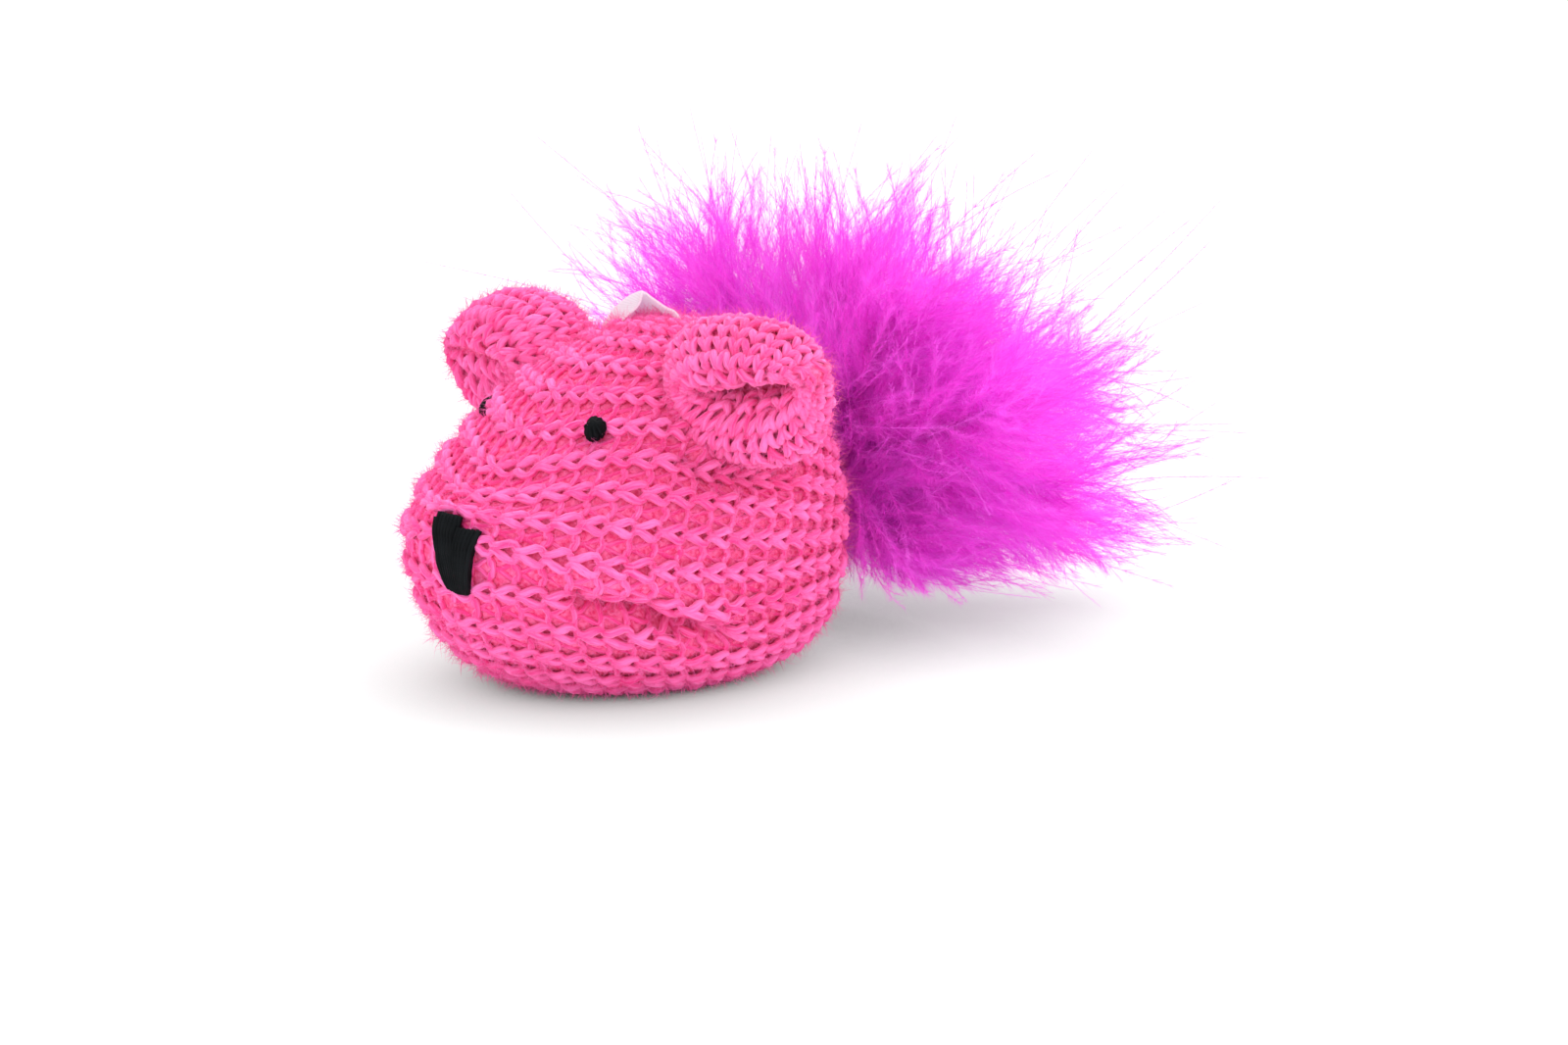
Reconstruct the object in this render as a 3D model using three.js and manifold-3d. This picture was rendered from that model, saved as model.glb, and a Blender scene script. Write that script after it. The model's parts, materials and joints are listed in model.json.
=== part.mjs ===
// Catnip toy: a stuffed rib-knit animal head with sewn features and a marabou feather tail.
// Millimetres, +Z up. The nose points along -Y and the animal's left side is +X.
// The origin is on the floor under the head, in the plane of the flat belly that the toy rests on.
import * as THREE from "three";
import { mergeVertices } from "three/addons/utils/BufferGeometryUtils.js";
import Module from "manifold-3d";

const wasm = await Module();
wasm.setup();
const { degToRad, lerp } = THREE.MathUtils;

// Head: an egg lying on its belly, square at the back, with a low blunt snout
const HEAD_LENGTH = 60;
const NOSE_REACH = 33;
const HEAD_HALF_WIDTH = 27.6;
const CROWN_RISE = 28.4;
const BELLY_DROP = 26.5;
const NOSE_AXIS_HEIGHT = 23;
const BACK_AXIS_HEIGHT = 23.5;
const FRONT_ROUNDNESS = 0.8;
const BACK_ROUNDNESS = 0.44;
const UPPER_SQUARENESS = 1.85;
const LOWER_SQUARENESS = 3.2;
const CHEEK_TAPER = 0.16;
const FOREHEAD_TAPER = 0.95;
const FOREHEAD_STEEPNESS = 3.3;
const SNOUT_FULLNESS = 0.7;
const SNOUT_SHARE = 0.09;
const CHIN_TAPER = 0.08;
const BELLY_SOFTNESS = 5;
const BELLY_CUT = 0.5;
const KNIT_WALL = 2;

// Clearances between pieces that touch, and between pieces that move past each other
const SOFT_GAP = 0.35;
const SWING_STEPS = 2;

// Stuffing: two wads of fibre pressed together round a pocket of dried leaf
const WAD_SPLIT_Y = -4;
const LEAF_HALF_WIDTH = 12;
const LEAF_HALF_DEPTH = 8;
const LEAF_HALF_HEIGHT = 9;
const LEAF_LUMPS = 5;
const LEAF_LUMP_DEPTH = 0.08;

// Ears: plump knitted lobes with a pinched crease, each sewn down along a curved root
const EAR_BACK = 98;
const EAR_UP = 42.5;
const EAR_STANDOFF = 4.6;
const EAR_HALF_WIDTH = 12.8;
const EAR_HALF_HEIGHT = 10;
const EAR_HALF_THICKNESS = 8;
const EAR_ROUNDNESS = 0.8;
const EAR_SQUARENESS = 2.5;
const EAR_TOE_OUT = 10;
const EAR_FOLD = [-10, 15];
const EAR_GAP = 0.75;
const CREASE_HALF_LENGTH = 6.8;
const CREASE_HALF_HEIGHT = 0.75;
const CREASE_DEPTH = 5;
const CREASE_RISE = 1.5;
const CREASE_ASIDE = 4;
const SEAM_THREAD = 0.9;
const SEAM_SPREAD = 14;
const SEAM_STITCHES = 4;
const SEAM_WAVER = 0.3;
const SEAM_PLAY = 0.25;
const SEAM_END_PLAY = 2;

// Sewn face: a padded nose and two knotted eyes
const NOSE_HALF_WIDTH = 4.8;
const NOSE_TOP = 5.2;
const NOSE_NOTCH = 1.1;
const NOSE_BOTTOM = 5.6;
const NOSE_THICKNESS = 1.1;
const NOSE_ASIDE = 1.5;
const NOSE_RISE = 0.6;
const LEFT_EYE = { back: 65, up: 56.5 };
const RIGHT_EYE = { back: 69, up: 130 };
const EYE_HALF_WIDTH = 1.4;
const EYE_HALF_HEIGHT = 1.75;
const EYE_STANDOUT = 1.5;

// Label: a bare ribbon folded into a loop on the crown
const LABEL_BACK = 106;
const LABEL_ASIDE = -2.5;
const LABEL_WIDTH = 10;
const LABEL_HEIGHT = 5;
const LABEL_LOOP_HALF = 3.6;
const LABEL_RIBBON = 0.4;
const LABEL_YAW = -29;
const LABEL_ROOT = 2.5;
const LABEL_FLIP = [-12, 15];

// Tail: quills bound with thread, seated in the gathered back of the head
const GATHER_THREAD = 1.2;
const BINDING_BEAD_RADIUS = 4;
const BINDING_REACH = 7.5;
const BINDING_CROWN_RADIUS = 3;
const WRAP_COUNT = 3;
const WRAP_DEPTH = 0.4;
const QUILL_RADIUS = 0.5;
const QUILL_LENGTH = 5;
const VANE_SWELL = 0.14;
const VANE_CAMBER = 0.16;
const VANE_FLARE = 0.35;
const VANE_BLUNTNESS = 2;
const VANE_TUFTS = 5;
const TUFT_DEPTH = 0.2;
const PLUME_STEPS = 16;
const VANE_SIDES = 8;
// Each plume's tilt from straight back, its turn round the tail from the left side, its spread and its length
const MIDDLE_PLUMES = [
  { tilt: 3, turn: 90, spread: 20, length: 66 },
  { tilt: 30, turn: 90, spread: 18.5, length: 44 },
  { tilt: 30, turn: 270, spread: 18.5, length: 34 },
  { tilt: 74, turn: 90, spread: 24, length: 40 },
];
// These grow on the left, each with its mirror image on the right
const SIDE_PLUMES = [
  { tilt: 30, turn: 30, spread: 18.5, length: 47 },
  { tilt: 30, turn: -31, spread: 17.5, length: 52 },
  { tilt: 56, turn: 45, spread: 24, length: 40 },
  { tilt: 56, turn: 0, spread: 23, length: 50 },
  { tilt: 56, turn: -42, spread: 20, length: 30 },
  { tilt: 82, turn: 56, spread: 27, length: 43 },
  { tilt: 82, turn: 22, spread: 27, length: 46 },
  { tilt: 82, turn: -22, spread: 24, length: 30 },
];

// Facets
const HEAD_RINGS = 22;
const HEAD_SEGMENTS = 32;
const LINING_RINGS = 14;
const LINING_SEGMENTS = 24;
const POLE_CROWDING = 0.88;
const NORMAL_STEP = 0.002;
const BALL_SEGMENTS = 18;
const BALL_RINGS = 12;
const THREAD_SIDES = 6;
const BIG = 400;

// Materials
const cloth = (color) => new THREE.MeshStandardMaterial({ color, roughness: 0.9, metalness: 0 });
const PINK_KNIT = cloth(0xff5a9c);
const MAGENTA_DOWN = cloth(0xe63ad0);
const BLACK_THREAD = cloth(0x17161a);
const PINK_THREAD = cloth(0xd83a78);
const WHITE_FIBRE = cloth(0xf4f1ea);
const DRIED_LEAF = cloth(0x7d8450);
const WHITE_RIBBON = new THREE.MeshStandardMaterial({ color: 0xf3eef2, roughness: 0.45, metalness: 0 });

// Solids and booleans
function toSolid(geometry) {
  const bare = geometry.clone();
  bare.deleteAttribute("normal");
  bare.deleteAttribute("uv");
  const merged = mergeVertices(bare);
  const vertProperties = merged.attributes.position.array;
  const triVerts = new Uint32Array(merged.index.array);
  return new wasm.Manifold(new wasm.Mesh({ numProp: 3, vertProperties, triVerts }));
}

function toGeometry(solid) {
  const made = solid.getMesh();
  const geometry = new THREE.BufferGeometry();
  geometry.setAttribute("position", new THREE.BufferAttribute(made.vertProperties, 3));
  geometry.setIndex(new THREE.BufferAttribute(made.triVerts, 1));
  geometry.computeVertexNormals();
  return geometry;
}

function subPart(name, geometry, material) {
  const mesh = new THREE.Mesh(geometry, material);
  mesh.name = name;
  return mesh;
}

// A closed skin over rings of points, which turn left-handed about the way the loft runs
function loft(rings, startPoint, endPoint) {
  const count = rings[0].length;
  const lastRing = 1 + (rings.length - 1) * count;
  const points = [startPoint, ...rings.flat(), endPoint];
  const triangles = [];
  for (let j = 0; j < count; j++) {
    const next = (j + 1) % count;
    triangles.push(0, 1 + j, 1 + next);
    for (let base = 1; base < lastRing; base += count) {
      const above = base + count;
      triangles.push(base + j, above + next, base + next);
      triangles.push(base + j, above + j, above + next);
    }
    triangles.push(lastRing + j, points.length - 1, lastRing + next);
  }
  return new THREE.BufferGeometry().setFromPoints(points).setIndex(triangles);
}

// An ellipsoid with its half sizes along three right-handed directions; roundness under 1 squares its rim
function lobe(centre, directions, halfSizes, roundness = 1, squareness = 2) {
  const [side, up, facing] = directions;
  const place = (across, high, out) =>
    centre
      .clone()
      .addScaledVector(side, across * halfSizes[0])
      .addScaledVector(up, high * halfSizes[1])
      .addScaledVector(facing, out * halfSizes[2]);
  const rings = [];
  for (let i = 1; i < BALL_RINGS; i++) {
    const angle = (Math.PI * i) / BALL_RINGS;
    const radius = Math.sin(angle) ** roundness;
    const ring = [];
    for (let j = 0; j < BALL_SEGMENTS; j++) {
      const round = (2 * Math.PI * j) / BALL_SEGMENTS;
      const across = Math.cos(round);
      const high = Math.sin(round);
      const sum = Math.abs(across) ** squareness + Math.abs(high) ** squareness;
      const reach = radius * sum ** (-1 / squareness);
      ring.push(place(reach * across, reach * high, Math.cos(angle)));
    }
    rings.push(ring);
  }
  return loft(rings, place(0, 0, 1), place(0, 0, -1));
}

function boxBetween(low, high) {
  const size = high.clone().sub(low);
  const middle = low.clone().add(high).multiplyScalar(0.5);
  return new THREE.BoxGeometry(size.x, size.y, size.z).translate(middle.x, middle.y, middle.z);
}

// A turn about a line, by degrees
function turnAbout(hinge, degrees) {
  const { point, axis } = hinge;
  return new THREE.Matrix4()
    .makeTranslation(point.x, point.y, point.z)
    .multiply(new THREE.Matrix4().makeRotationAxis(axis, degToRad(degrees)))
    .multiply(new THREE.Matrix4().makeTranslation(-point.x, -point.y, -point.z));
}

// Trims a piece so that it stays clear of its neighbour all through its swing
function clearForSwing(piece, neighbour, hinge, range) {
  let trimmed = piece;
  for (let i = 0; i <= SWING_STEPS; i++) {
    const turn = turnAbout(hinge, -lerp(range[0], range[1], i / SWING_STEPS));
    trimmed = trimmed.subtract(toSolid(neighbour.clone().applyMatrix4(turn)));
  }
  return trimmed;
}

// Head surface: back runs from 0 at the nose to pi at the gather, round turns from +X towards +Z
const settle = (height) => (height + Math.hypot(height, BELLY_SOFTNESS)) / 2;

function hangingHeadPoint(back, round) {
  const share = (1 - Math.cos(back)) / 2;
  const front = (1 - share) ** 2;
  const fullness = Math.sin(back) ** lerp(FRONT_ROUNDNESS, BACK_ROUNDNESS, share);
  const across = Math.cos(round);
  const high = Math.sin(round);
  const halfWidth = HEAD_HALF_WIDTH * fullness * (1 - CHEEK_TAPER * front);
  const snout = SNOUT_FULLNESS * Math.exp(-share / SNOUT_SHARE);
  const slope = (1 - share) ** FOREHEAD_STEEPNESS * (1 - snout);
  const rise = CROWN_RISE * fullness * (1 - FOREHEAD_TAPER * slope);
  const drop = BELLY_DROP * fullness * (1 - CHIN_TAPER * front);
  const lower = lerp(UPPER_SQUARENESS, LOWER_SQUARENESS, share);
  const power = high > 0 ? UPPER_SQUARENESS : lower;
  const halfHeight = high > 0 ? rise : drop;
  const sum = Math.abs(across / halfWidth) ** power + Math.abs(high / halfHeight) ** power;
  const radius = sum ** (-1 / power);
  const axisHeight = lerp(NOSE_AXIS_HEIGHT, BACK_AXIS_HEIGHT, share);
  const along = -NOSE_REACH + HEAD_LENGTH * share;
  return new THREE.Vector3(radius * across, along, settle(axisHeight + radius * high));
}

function lowestBelly() {
  let lowest = Infinity;
  for (let i = 1; i < HEAD_LENGTH; i++) {
    const point = hangingHeadPoint((Math.PI * i) / HEAD_LENGTH, -Math.PI / 2);
    lowest = Math.min(lowest, point.z);
  }
  return lowest;
}

const BELLY_SHIFT = lowestBelly() + BELLY_CUT;

function headPoint(back, round) {
  const point = hangingHeadPoint(back, round);
  point.z -= BELLY_SHIFT;
  return point;
}

function headNormal(back, round) {
  const along = headPoint(back + NORMAL_STEP, round).sub(headPoint(back - NORMAL_STEP, round));
  const around = headPoint(back, round + NORMAL_STEP).sub(headPoint(back, round - NORMAL_STEP));
  return along.cross(around).normalize();
}

// A point that stands off the head's surface, from angles in degrees
function offHead(backDegrees, roundDegrees, standoff) {
  const back = degToRad(backDegrees);
  const round = degToRad(roundDegrees);
  return headPoint(back, round).addScaledVector(headNormal(back, round), standoff);
}

function pole(back, standoff) {
  const share = (1 - Math.cos(back)) / 2;
  const height = settle(lerp(NOSE_AXIS_HEIGHT, BACK_AXIS_HEIGHT, share)) - BELLY_SHIFT;
  const along = -NOSE_REACH + HEAD_LENGTH * share - standoff * Math.cos(back);
  return new THREE.Vector3(0, along, height);
}

// The head's closed surface, swollen by standoff; rings crowd together at the two poles
function headSkin(standoff, ringCount = HEAD_RINGS, segments = HEAD_SEGMENTS) {
  const rings = [];
  for (let i = 1; i <= ringCount; i++) {
    const share = i / (ringCount + 1);
    const back = Math.PI * share - (POLE_CROWDING * Math.sin(2 * Math.PI * share)) / 2;
    const ring = [];
    for (let j = 0; j < segments; j++) {
      const round = (2 * Math.PI * (j + 0.5)) / segments;
      const normal = headNormal(back, round);
      ring.push(headPoint(back, round).addScaledVector(normal, standoff));
    }
    rings.push(ring);
  }
  return loft(rings, pole(0, standoff), pole(Math.PI, standoff));
}

// Seat of the tail in the gathered back: a bead inside a thread ring inside a round socket
const GATHER = pole(Math.PI, -KNIT_WALL / 2);
const GATHER_RING_RADIUS = BINDING_BEAD_RADIUS + SOFT_GAP + GATHER_THREAD / 2;
const SOCKET_RADIUS = GATHER_RING_RADIUS + GATHER_THREAD / 2 + SOFT_GAP;
const QUILL_CROWN = GATHER.clone().add(new THREE.Vector3(0, BINDING_REACH, 0));

function socketBall() {
  const ball = new THREE.SphereGeometry(SOCKET_RADIUS, BALL_SEGMENTS, BALL_RINGS);
  return toSolid(ball.translate(GATHER.x, GATHER.y, GATHER.z));
}

function makeKnitBody() {
  const lining = toSolid(headSkin(-KNIT_WALL, LINING_RINGS, LINING_SEGMENTS));
  const floor = boxBetween(new THREE.Vector3(-BIG, -BIG, -BIG), new THREE.Vector3(BIG, BIG, 0));
  const pouch = toSolid(headSkin(0)).subtract(lining).subtract(socketBall());
  return subPart("knit_body", toGeometry(pouch.subtract(toSolid(floor))), PINK_KNIT);
}

// Dried leaf: a lump with a gently knobbly surface
function leafLump(swell) {
  const middle = pole(Math.PI / 2, 0).setY(WAD_SPLIT_Y);
  const rings = [];
  for (let i = 1; i < BALL_RINGS; i++) {
    const back = (Math.PI * i) / BALL_RINGS;
    const ring = [];
    for (let j = 0; j < BALL_SEGMENTS; j++) {
      const round = (2 * Math.PI * j) / BALL_SEGMENTS;
      const lump = 1 + LEAF_LUMP_DEPTH * Math.sin(LEAF_LUMPS * round) * Math.sin(2 * back);
      const across = (LEAF_HALF_WIDTH * lump + swell) * Math.sin(back) * Math.cos(round);
      const high = (LEAF_HALF_HEIGHT * lump + swell) * Math.sin(back) * Math.sin(round);
      const along = -(LEAF_HALF_DEPTH + swell) * Math.cos(back);
      ring.push(new THREE.Vector3(across, along, high).add(middle));
    }
    rings.push(ring);
  }
  const reach = new THREE.Vector3(0, LEAF_HALF_DEPTH + swell, 0);
  return loft(rings, middle.clone().sub(reach), middle.clone().add(reach));
}

function makeStuffing() {
  const fill = toSolid(headSkin(-KNIT_WALL - SOFT_GAP, LINING_RINGS, LINING_SEGMENTS));
  const pocketed = fill.subtract(toSolid(leafLump(SOFT_GAP)));
  const frontFace = WAD_SPLIT_Y - SOFT_GAP / 2;
  const rearFace = WAD_SPLIT_Y + SOFT_GAP / 2;
  const notFront = boxBetween(new THREE.Vector3(-BIG, frontFace, -BIG), new THREE.Vector3(BIG, BIG, BIG));
  const notRear = boxBetween(new THREE.Vector3(-BIG, -BIG, -BIG), new THREE.Vector3(BIG, rearFace, BIG));
  const front = pocketed.subtract(toSolid(notFront));
  const rear = pocketed.subtract(toSolid(notRear)).subtract(socketBall());
  return [
    subPart("stuffing_front", toGeometry(front), WHITE_FIBRE),
    subPart("stuffing_rear", toGeometry(rear), WHITE_FIBRE),
    subPart("catnip_leaf", leafLump(0), DRIED_LEAF),
  ];
}

// A round thread along a curve
function thread(points, diameter, steps) {
  const section = new THREE.Shape().absarc(0, 0, diameter / 2, 0, 2 * Math.PI);
  return new THREE.ExtrudeGeometry(section, {
    steps,
    curveSegments: THREAD_SIDES / 2,
    extrudePath: new THREE.CatmullRomCurve3(points),
    bevelEnabled: false,
  });
}

// The seam that holds an ear: a wavering line of stitches round the head, beside the ear's root
function earSeam(side, diameter, waver, spread, steps) {
  const points = [];
  for (let i = 0; i <= steps; i++) {
    const share = i / steps;
    const up = EAR_UP + lerp(-spread, spread, share);
    const point = offHead(EAR_BACK, up, SEAM_THREAD / 2 + SOFT_GAP);
    point.y += waver * Math.sin(2 * Math.PI * SEAM_STITCHES * share);
    point.x *= side;
    points.push(point);
  }
  return thread(points, diameter, steps);
}

function makeEarSeam(name, side) {
  const seam = earSeam(side, SEAM_THREAD, SEAM_WAVER, SEAM_SPREAD, 6 * SEAM_STITCHES);
  return subPart(name, seam, PINK_THREAD);
}

// The line an ear folds about: along its root, so that a positive turn lays the ear back
function earHinge(side) {
  const standoff = SEAM_THREAD / 2 + SOFT_GAP;
  const lower = offHead(EAR_BACK, EAR_UP - SEAM_SPREAD, standoff);
  const upper = offHead(EAR_BACK, EAR_UP + SEAM_SPREAD, standoff);
  const axis = upper.clone().sub(lower).normalize();
  const point = offHead(EAR_BACK, EAR_UP, standoff);
  if (side < 0) {
    point.x = -point.x;
    axis.set(axis.x, -axis.y, -axis.z);
  }
  return { point, axis };
}

function makeEar(name, side) {
  const centre = offHead(EAR_BACK, EAR_UP, EAR_STANDOFF);
  centre.x *= side;
  const toe = degToRad(EAR_TOE_OUT);
  const facing = new THREE.Vector3(side * Math.sin(toe), -Math.cos(toe), 0);
  const up = new THREE.Vector3(0, 0, 1);
  const across = up.clone().cross(facing);
  const directions = [across, up, facing];
  const halfSizes = [EAR_HALF_WIDTH, EAR_HALF_HEIGHT, EAR_HALF_THICKNESS];
  const mouth = centre
    .clone()
    .addScaledVector(facing, EAR_HALF_THICKNESS)
    .addScaledVector(up, CREASE_RISE)
    .addScaledVector(across, side * CREASE_ASIDE);
  const crease = lobe(mouth, directions, [CREASE_HALF_LENGTH, CREASE_HALF_HEIGHT, CREASE_DEPTH]);
  const pillow = lobe(centre, directions, halfSizes, EAR_ROUNDNESS, EAR_SQUARENESS);
  const plump = toSolid(pillow).subtract(toSolid(crease));
  const hinge = earHinge(side);
  const channelWidth = SEAM_THREAD + 2 * (SOFT_GAP + SEAM_WAVER + SEAM_PLAY);
  const channelSpread = SEAM_SPREAD + SEAM_END_PLAY;
  const channel = toSolid(earSeam(side, channelWidth, 0, channelSpread, 2 * SEAM_STITCHES));
  const rested = clearForSwing(plump, headSkin(EAR_GAP, LINING_RINGS, LINING_SEGMENTS), hinge, EAR_FOLD);
  const ear = rested.subtract(channel);
  const mesh = subPart(name, toGeometry(ear), PINK_KNIT);
  mesh.userData.hinge = hinge;
  return mesh;
}

// Nose: a shield with a notched top, padded out from the front of the head
function makeNose() {
  const shield = new THREE.Shape();
  shield.moveTo(0, -NOSE_BOTTOM);
  shield.quadraticCurveTo(NOSE_HALF_WIDTH * 0.55, -NOSE_BOTTOM, NOSE_HALF_WIDTH * 0.75, -NOSE_BOTTOM / 2);
  shield.quadraticCurveTo(NOSE_HALF_WIDTH, 0, NOSE_HALF_WIDTH, NOSE_TOP);
  shield.quadraticCurveTo(NOSE_HALF_WIDTH / 2, NOSE_TOP, 0, NOSE_TOP - NOSE_NOTCH);
  shield.quadraticCurveTo(-NOSE_HALF_WIDTH / 2, NOSE_TOP, -NOSE_HALF_WIDTH, NOSE_TOP);
  shield.quadraticCurveTo(-NOSE_HALF_WIDTH, 0, -NOSE_HALF_WIDTH * 0.75, -NOSE_BOTTOM / 2);
  shield.quadraticCurveTo(-NOSE_HALF_WIDTH * 0.55, -NOSE_BOTTOM, 0, -NOSE_BOTTOM);
  const tip = pole(0, 0);
  const bar = new THREE.ExtrudeGeometry(shield, { depth: NOSE_REACH, bevelEnabled: false, curveSegments: 4 });
  bar.rotateX(Math.PI / 2).translate(NOSE_ASIDE, tip.y + NOSE_REACH / 2, tip.z + NOSE_RISE);
  const pad = toSolid(headSkin(SOFT_GAP + NOSE_THICKNESS)).subtract(toSolid(headSkin(SOFT_GAP)));
  return subPart("nose", toGeometry(pad.intersect(toSolid(bar))), BLACK_THREAD);
}

// Eye: a knot of thread standing on the knit
function makeEye(name, { back, up }) {
  const facing = headNormal(degToRad(back), degToRad(up));
  const across = new THREE.Vector3(0, 0, 1).cross(facing).normalize();
  const rise = facing.clone().cross(across);
  const halfSizes = [EYE_HALF_WIDTH, EYE_HALF_HEIGHT, EYE_STANDOUT];
  const knot = lobe(offHead(back, up, SOFT_GAP), [across, rise, facing], halfSizes);
  const eye = toSolid(knot).subtract(toSolid(headSkin(SOFT_GAP)));
  return subPart(name, toGeometry(eye), BLACK_THREAD);
}

// Label: a ribbon loop with its open ends at the sides, turned a little to the front
function ribbonLoop() {
  const bottom = -LABEL_ROOT;
  const outline = (shape, half, top) => {
    shape.moveTo(-half, bottom);
    shape.bezierCurveTo(-half, top * 0.45, -half * 0.7, top, 0, top);
    shape.bezierCurveTo(half * 0.7, top, half, top * 0.45, half, bottom);
    return shape;
  };
  const band = outline(new THREE.Shape(), LABEL_LOOP_HALF, LABEL_HEIGHT);
  const inside = LABEL_LOOP_HALF - LABEL_RIBBON;
  const insideTop = LABEL_HEIGHT - LABEL_RIBBON;
  band.lineTo(inside, bottom);
  band.bezierCurveTo(inside, insideTop * 0.45, inside * 0.7, insideTop, 0, insideTop);
  band.bezierCurveTo(-inside * 0.7, insideTop, -inside, insideTop * 0.45, -inside, bottom);
  const loop = new THREE.ExtrudeGeometry(band, { depth: LABEL_WIDTH, bevelEnabled: false, curveSegments: 8 });
  return loop.translate(0, 0, -LABEL_WIDTH / 2);
}

function makeLabel() {
  const root = offHead(LABEL_BACK, 90, SOFT_GAP);
  root.x += LABEL_ASIDE;
  const loop = ribbonLoop()
    .applyMatrix4(new THREE.Matrix4().makeBasis(
      new THREE.Vector3(0, 1, 0),
      new THREE.Vector3(0, 0, 1),
      new THREE.Vector3(1, 0, 0),
    ))
    .rotateZ(degToRad(LABEL_YAW))
    .translate(root.x, root.y, root.z);
  const axis = new THREE.Vector3(Math.cos(degToRad(LABEL_YAW)), Math.sin(degToRad(LABEL_YAW)), 0);
  const hinge = { point: root, axis };
  const label = clearForSwing(toSolid(loop), headSkin(SOFT_GAP), hinge, LABEL_FLIP);
  const mesh = subPart("care_label", toGeometry(label), WHITE_RIBBON);
  mesh.userData.hinge = hinge;
  return mesh;
}

function makeGatherThread() {
  const ring = new THREE.TorusGeometry(GATHER_RING_RADIUS, GATHER_THREAD / 2, THREAD_SIDES, 2 * BALL_SEGMENTS);
  const mesh = subPart("gather_thread", ring.rotateX(Math.PI / 2), PINK_THREAD);
  mesh.position.copy(GATHER);
  mesh.userData.hinge = { point: GATHER, axis: new THREE.Vector3(0, 0, 1) };
  return mesh;
}

// Binding: a bead of wound thread in the gather, a wrapped neck, and a round crown the quills leave from
function makeQuillBinding() {
  const profile = [];
  const beadEnd = Math.asin(BINDING_CROWN_RADIUS / BINDING_BEAD_RADIUS);
  const beadSteps = BALL_RINGS / 2;
  for (let i = 0; i <= beadSteps; i++) {
    const angle = ((Math.PI - beadEnd) * i) / beadSteps;
    const radius = i === 0 ? 0 : BINDING_BEAD_RADIUS * Math.sin(angle);
    profile.push(new THREE.Vector2(radius, -BINDING_BEAD_RADIUS * Math.cos(angle)));
  }
  const neckStart = BINDING_BEAD_RADIUS * Math.cos(beadEnd);
  const turnsPerWrap = 4;
  const turns = WRAP_COUNT * turnsPerWrap;
  for (let i = 1; i < turns; i++) {
    const wrap = Math.sin((Math.PI * i) / turnsPerWrap) ** 2;
    const height = lerp(neckStart, BINDING_REACH, i / turns);
    profile.push(new THREE.Vector2(BINDING_CROWN_RADIUS - WRAP_DEPTH * (1 - wrap), height));
  }
  const crownSteps = BALL_RINGS / 3;
  for (let i = 0; i <= crownSteps; i++) {
    const angle = (Math.PI / 2) * (i / crownSteps);
    const radius = i === crownSteps ? 0 : BINDING_CROWN_RADIUS * Math.cos(angle);
    profile.push(new THREE.Vector2(radius, BINDING_REACH + BINDING_CROWN_RADIUS * Math.sin(angle)));
  }
  const mesh = subPart("quill_binding", new THREE.LatheGeometry(profile, BALL_SEGMENTS), PINK_THREAD);
  mesh.position.copy(GATHER);
  mesh.userData.hinge = { point: GATHER, axis: new THREE.Vector3(1, 0, 0) };
  return mesh;
}

// A plume along +Y: a bare quill, then a cambered vane whose edges break into tufts of down
function plumeGeometry(length, spreadDegrees) {
  const start = BINDING_CROWN_RADIUS + SOFT_GAP;
  const vaneStart = start + QUILL_LENGTH;
  const spread = Math.tan(degToRad(spreadDegrees));
  const halfWidthAt = (along) => {
    const share = (along - vaneStart) / (length - vaneStart);
    if (share <= 0) return QUILL_RADIUS;
    const tuft = 1 - TUFT_DEPTH * (1 - ((share * VANE_TUFTS) % 1));
    return QUILL_RADIUS + along * spread * share ** VANE_FLARE * (1 - share ** VANE_BLUNTNESS) * tuft;
  };
  const rings = [];
  for (let i = 0; i < PLUME_STEPS; i++) {
    const along = i === 0 ? start : lerp(vaneStart, length, (i - 1) / (PLUME_STEPS - 1));
    const half = halfWidthAt(along);
    const shaft = QUILL_RADIUS + VANE_SWELL * (half - QUILL_RADIUS);
    const camber = (across) => VANE_CAMBER * (across ** 2 / half - half / 2);
    const ring = [];
    for (let j = 0; j < VANE_SIDES; j++) {
      const round = (2 * Math.PI * j) / VANE_SIDES;
      const across = half * Math.cos(round);
      ring.push(new THREE.Vector3(across, along, camber(across) + shaft * Math.sin(round)));
    }
    rings.push(ring);
  }
  return loft(rings, new THREE.Vector3(0, start, 0), new THREE.Vector3(0, length, 0));
}

function makePlumes() {
  const fan = new THREE.Group();
  fan.position.copy(QUILL_CROWN);
  const mirrored = SIDE_PLUMES.flatMap((plume) => [plume, { ...plume, turn: 180 - plume.turn }]);
  [...MIDDLE_PLUMES, ...mirrored].forEach(({ tilt, turn, spread, length }, index) => {
    const name = "feather_" + String(index + 1).padStart(2, "0");
    const mesh = subPart(name, plumeGeometry(length, spread), MAGENTA_DOWN);
    mesh.rotation.set(degToRad(tilt), degToRad(90 - turn), 0, "YXZ");
    fan.add(mesh);
  });
  return fan;
}

const toy = new THREE.Group();
toy.name = "catnip_toy";
toy.add(makeKnitBody(), ...makeStuffing(), makeNose());
for (const [side, word] of [[1, "left"], [-1, "right"]]) {
  toy.add(makeEye("eye_" + word, side > 0 ? LEFT_EYE : RIGHT_EYE), makeEar("ear_" + word, side));
  toy.add(makeEarSeam("ear_seam_" + word, side));
}
toy.add(makeLabel(), makeGatherThread(), makeQuillBinding(), makePlumes());

export default toy;
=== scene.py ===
"""Looks of a stuffed rib-knit catnip toy with a marabou tail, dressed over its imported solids."""
import json
import math

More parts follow.
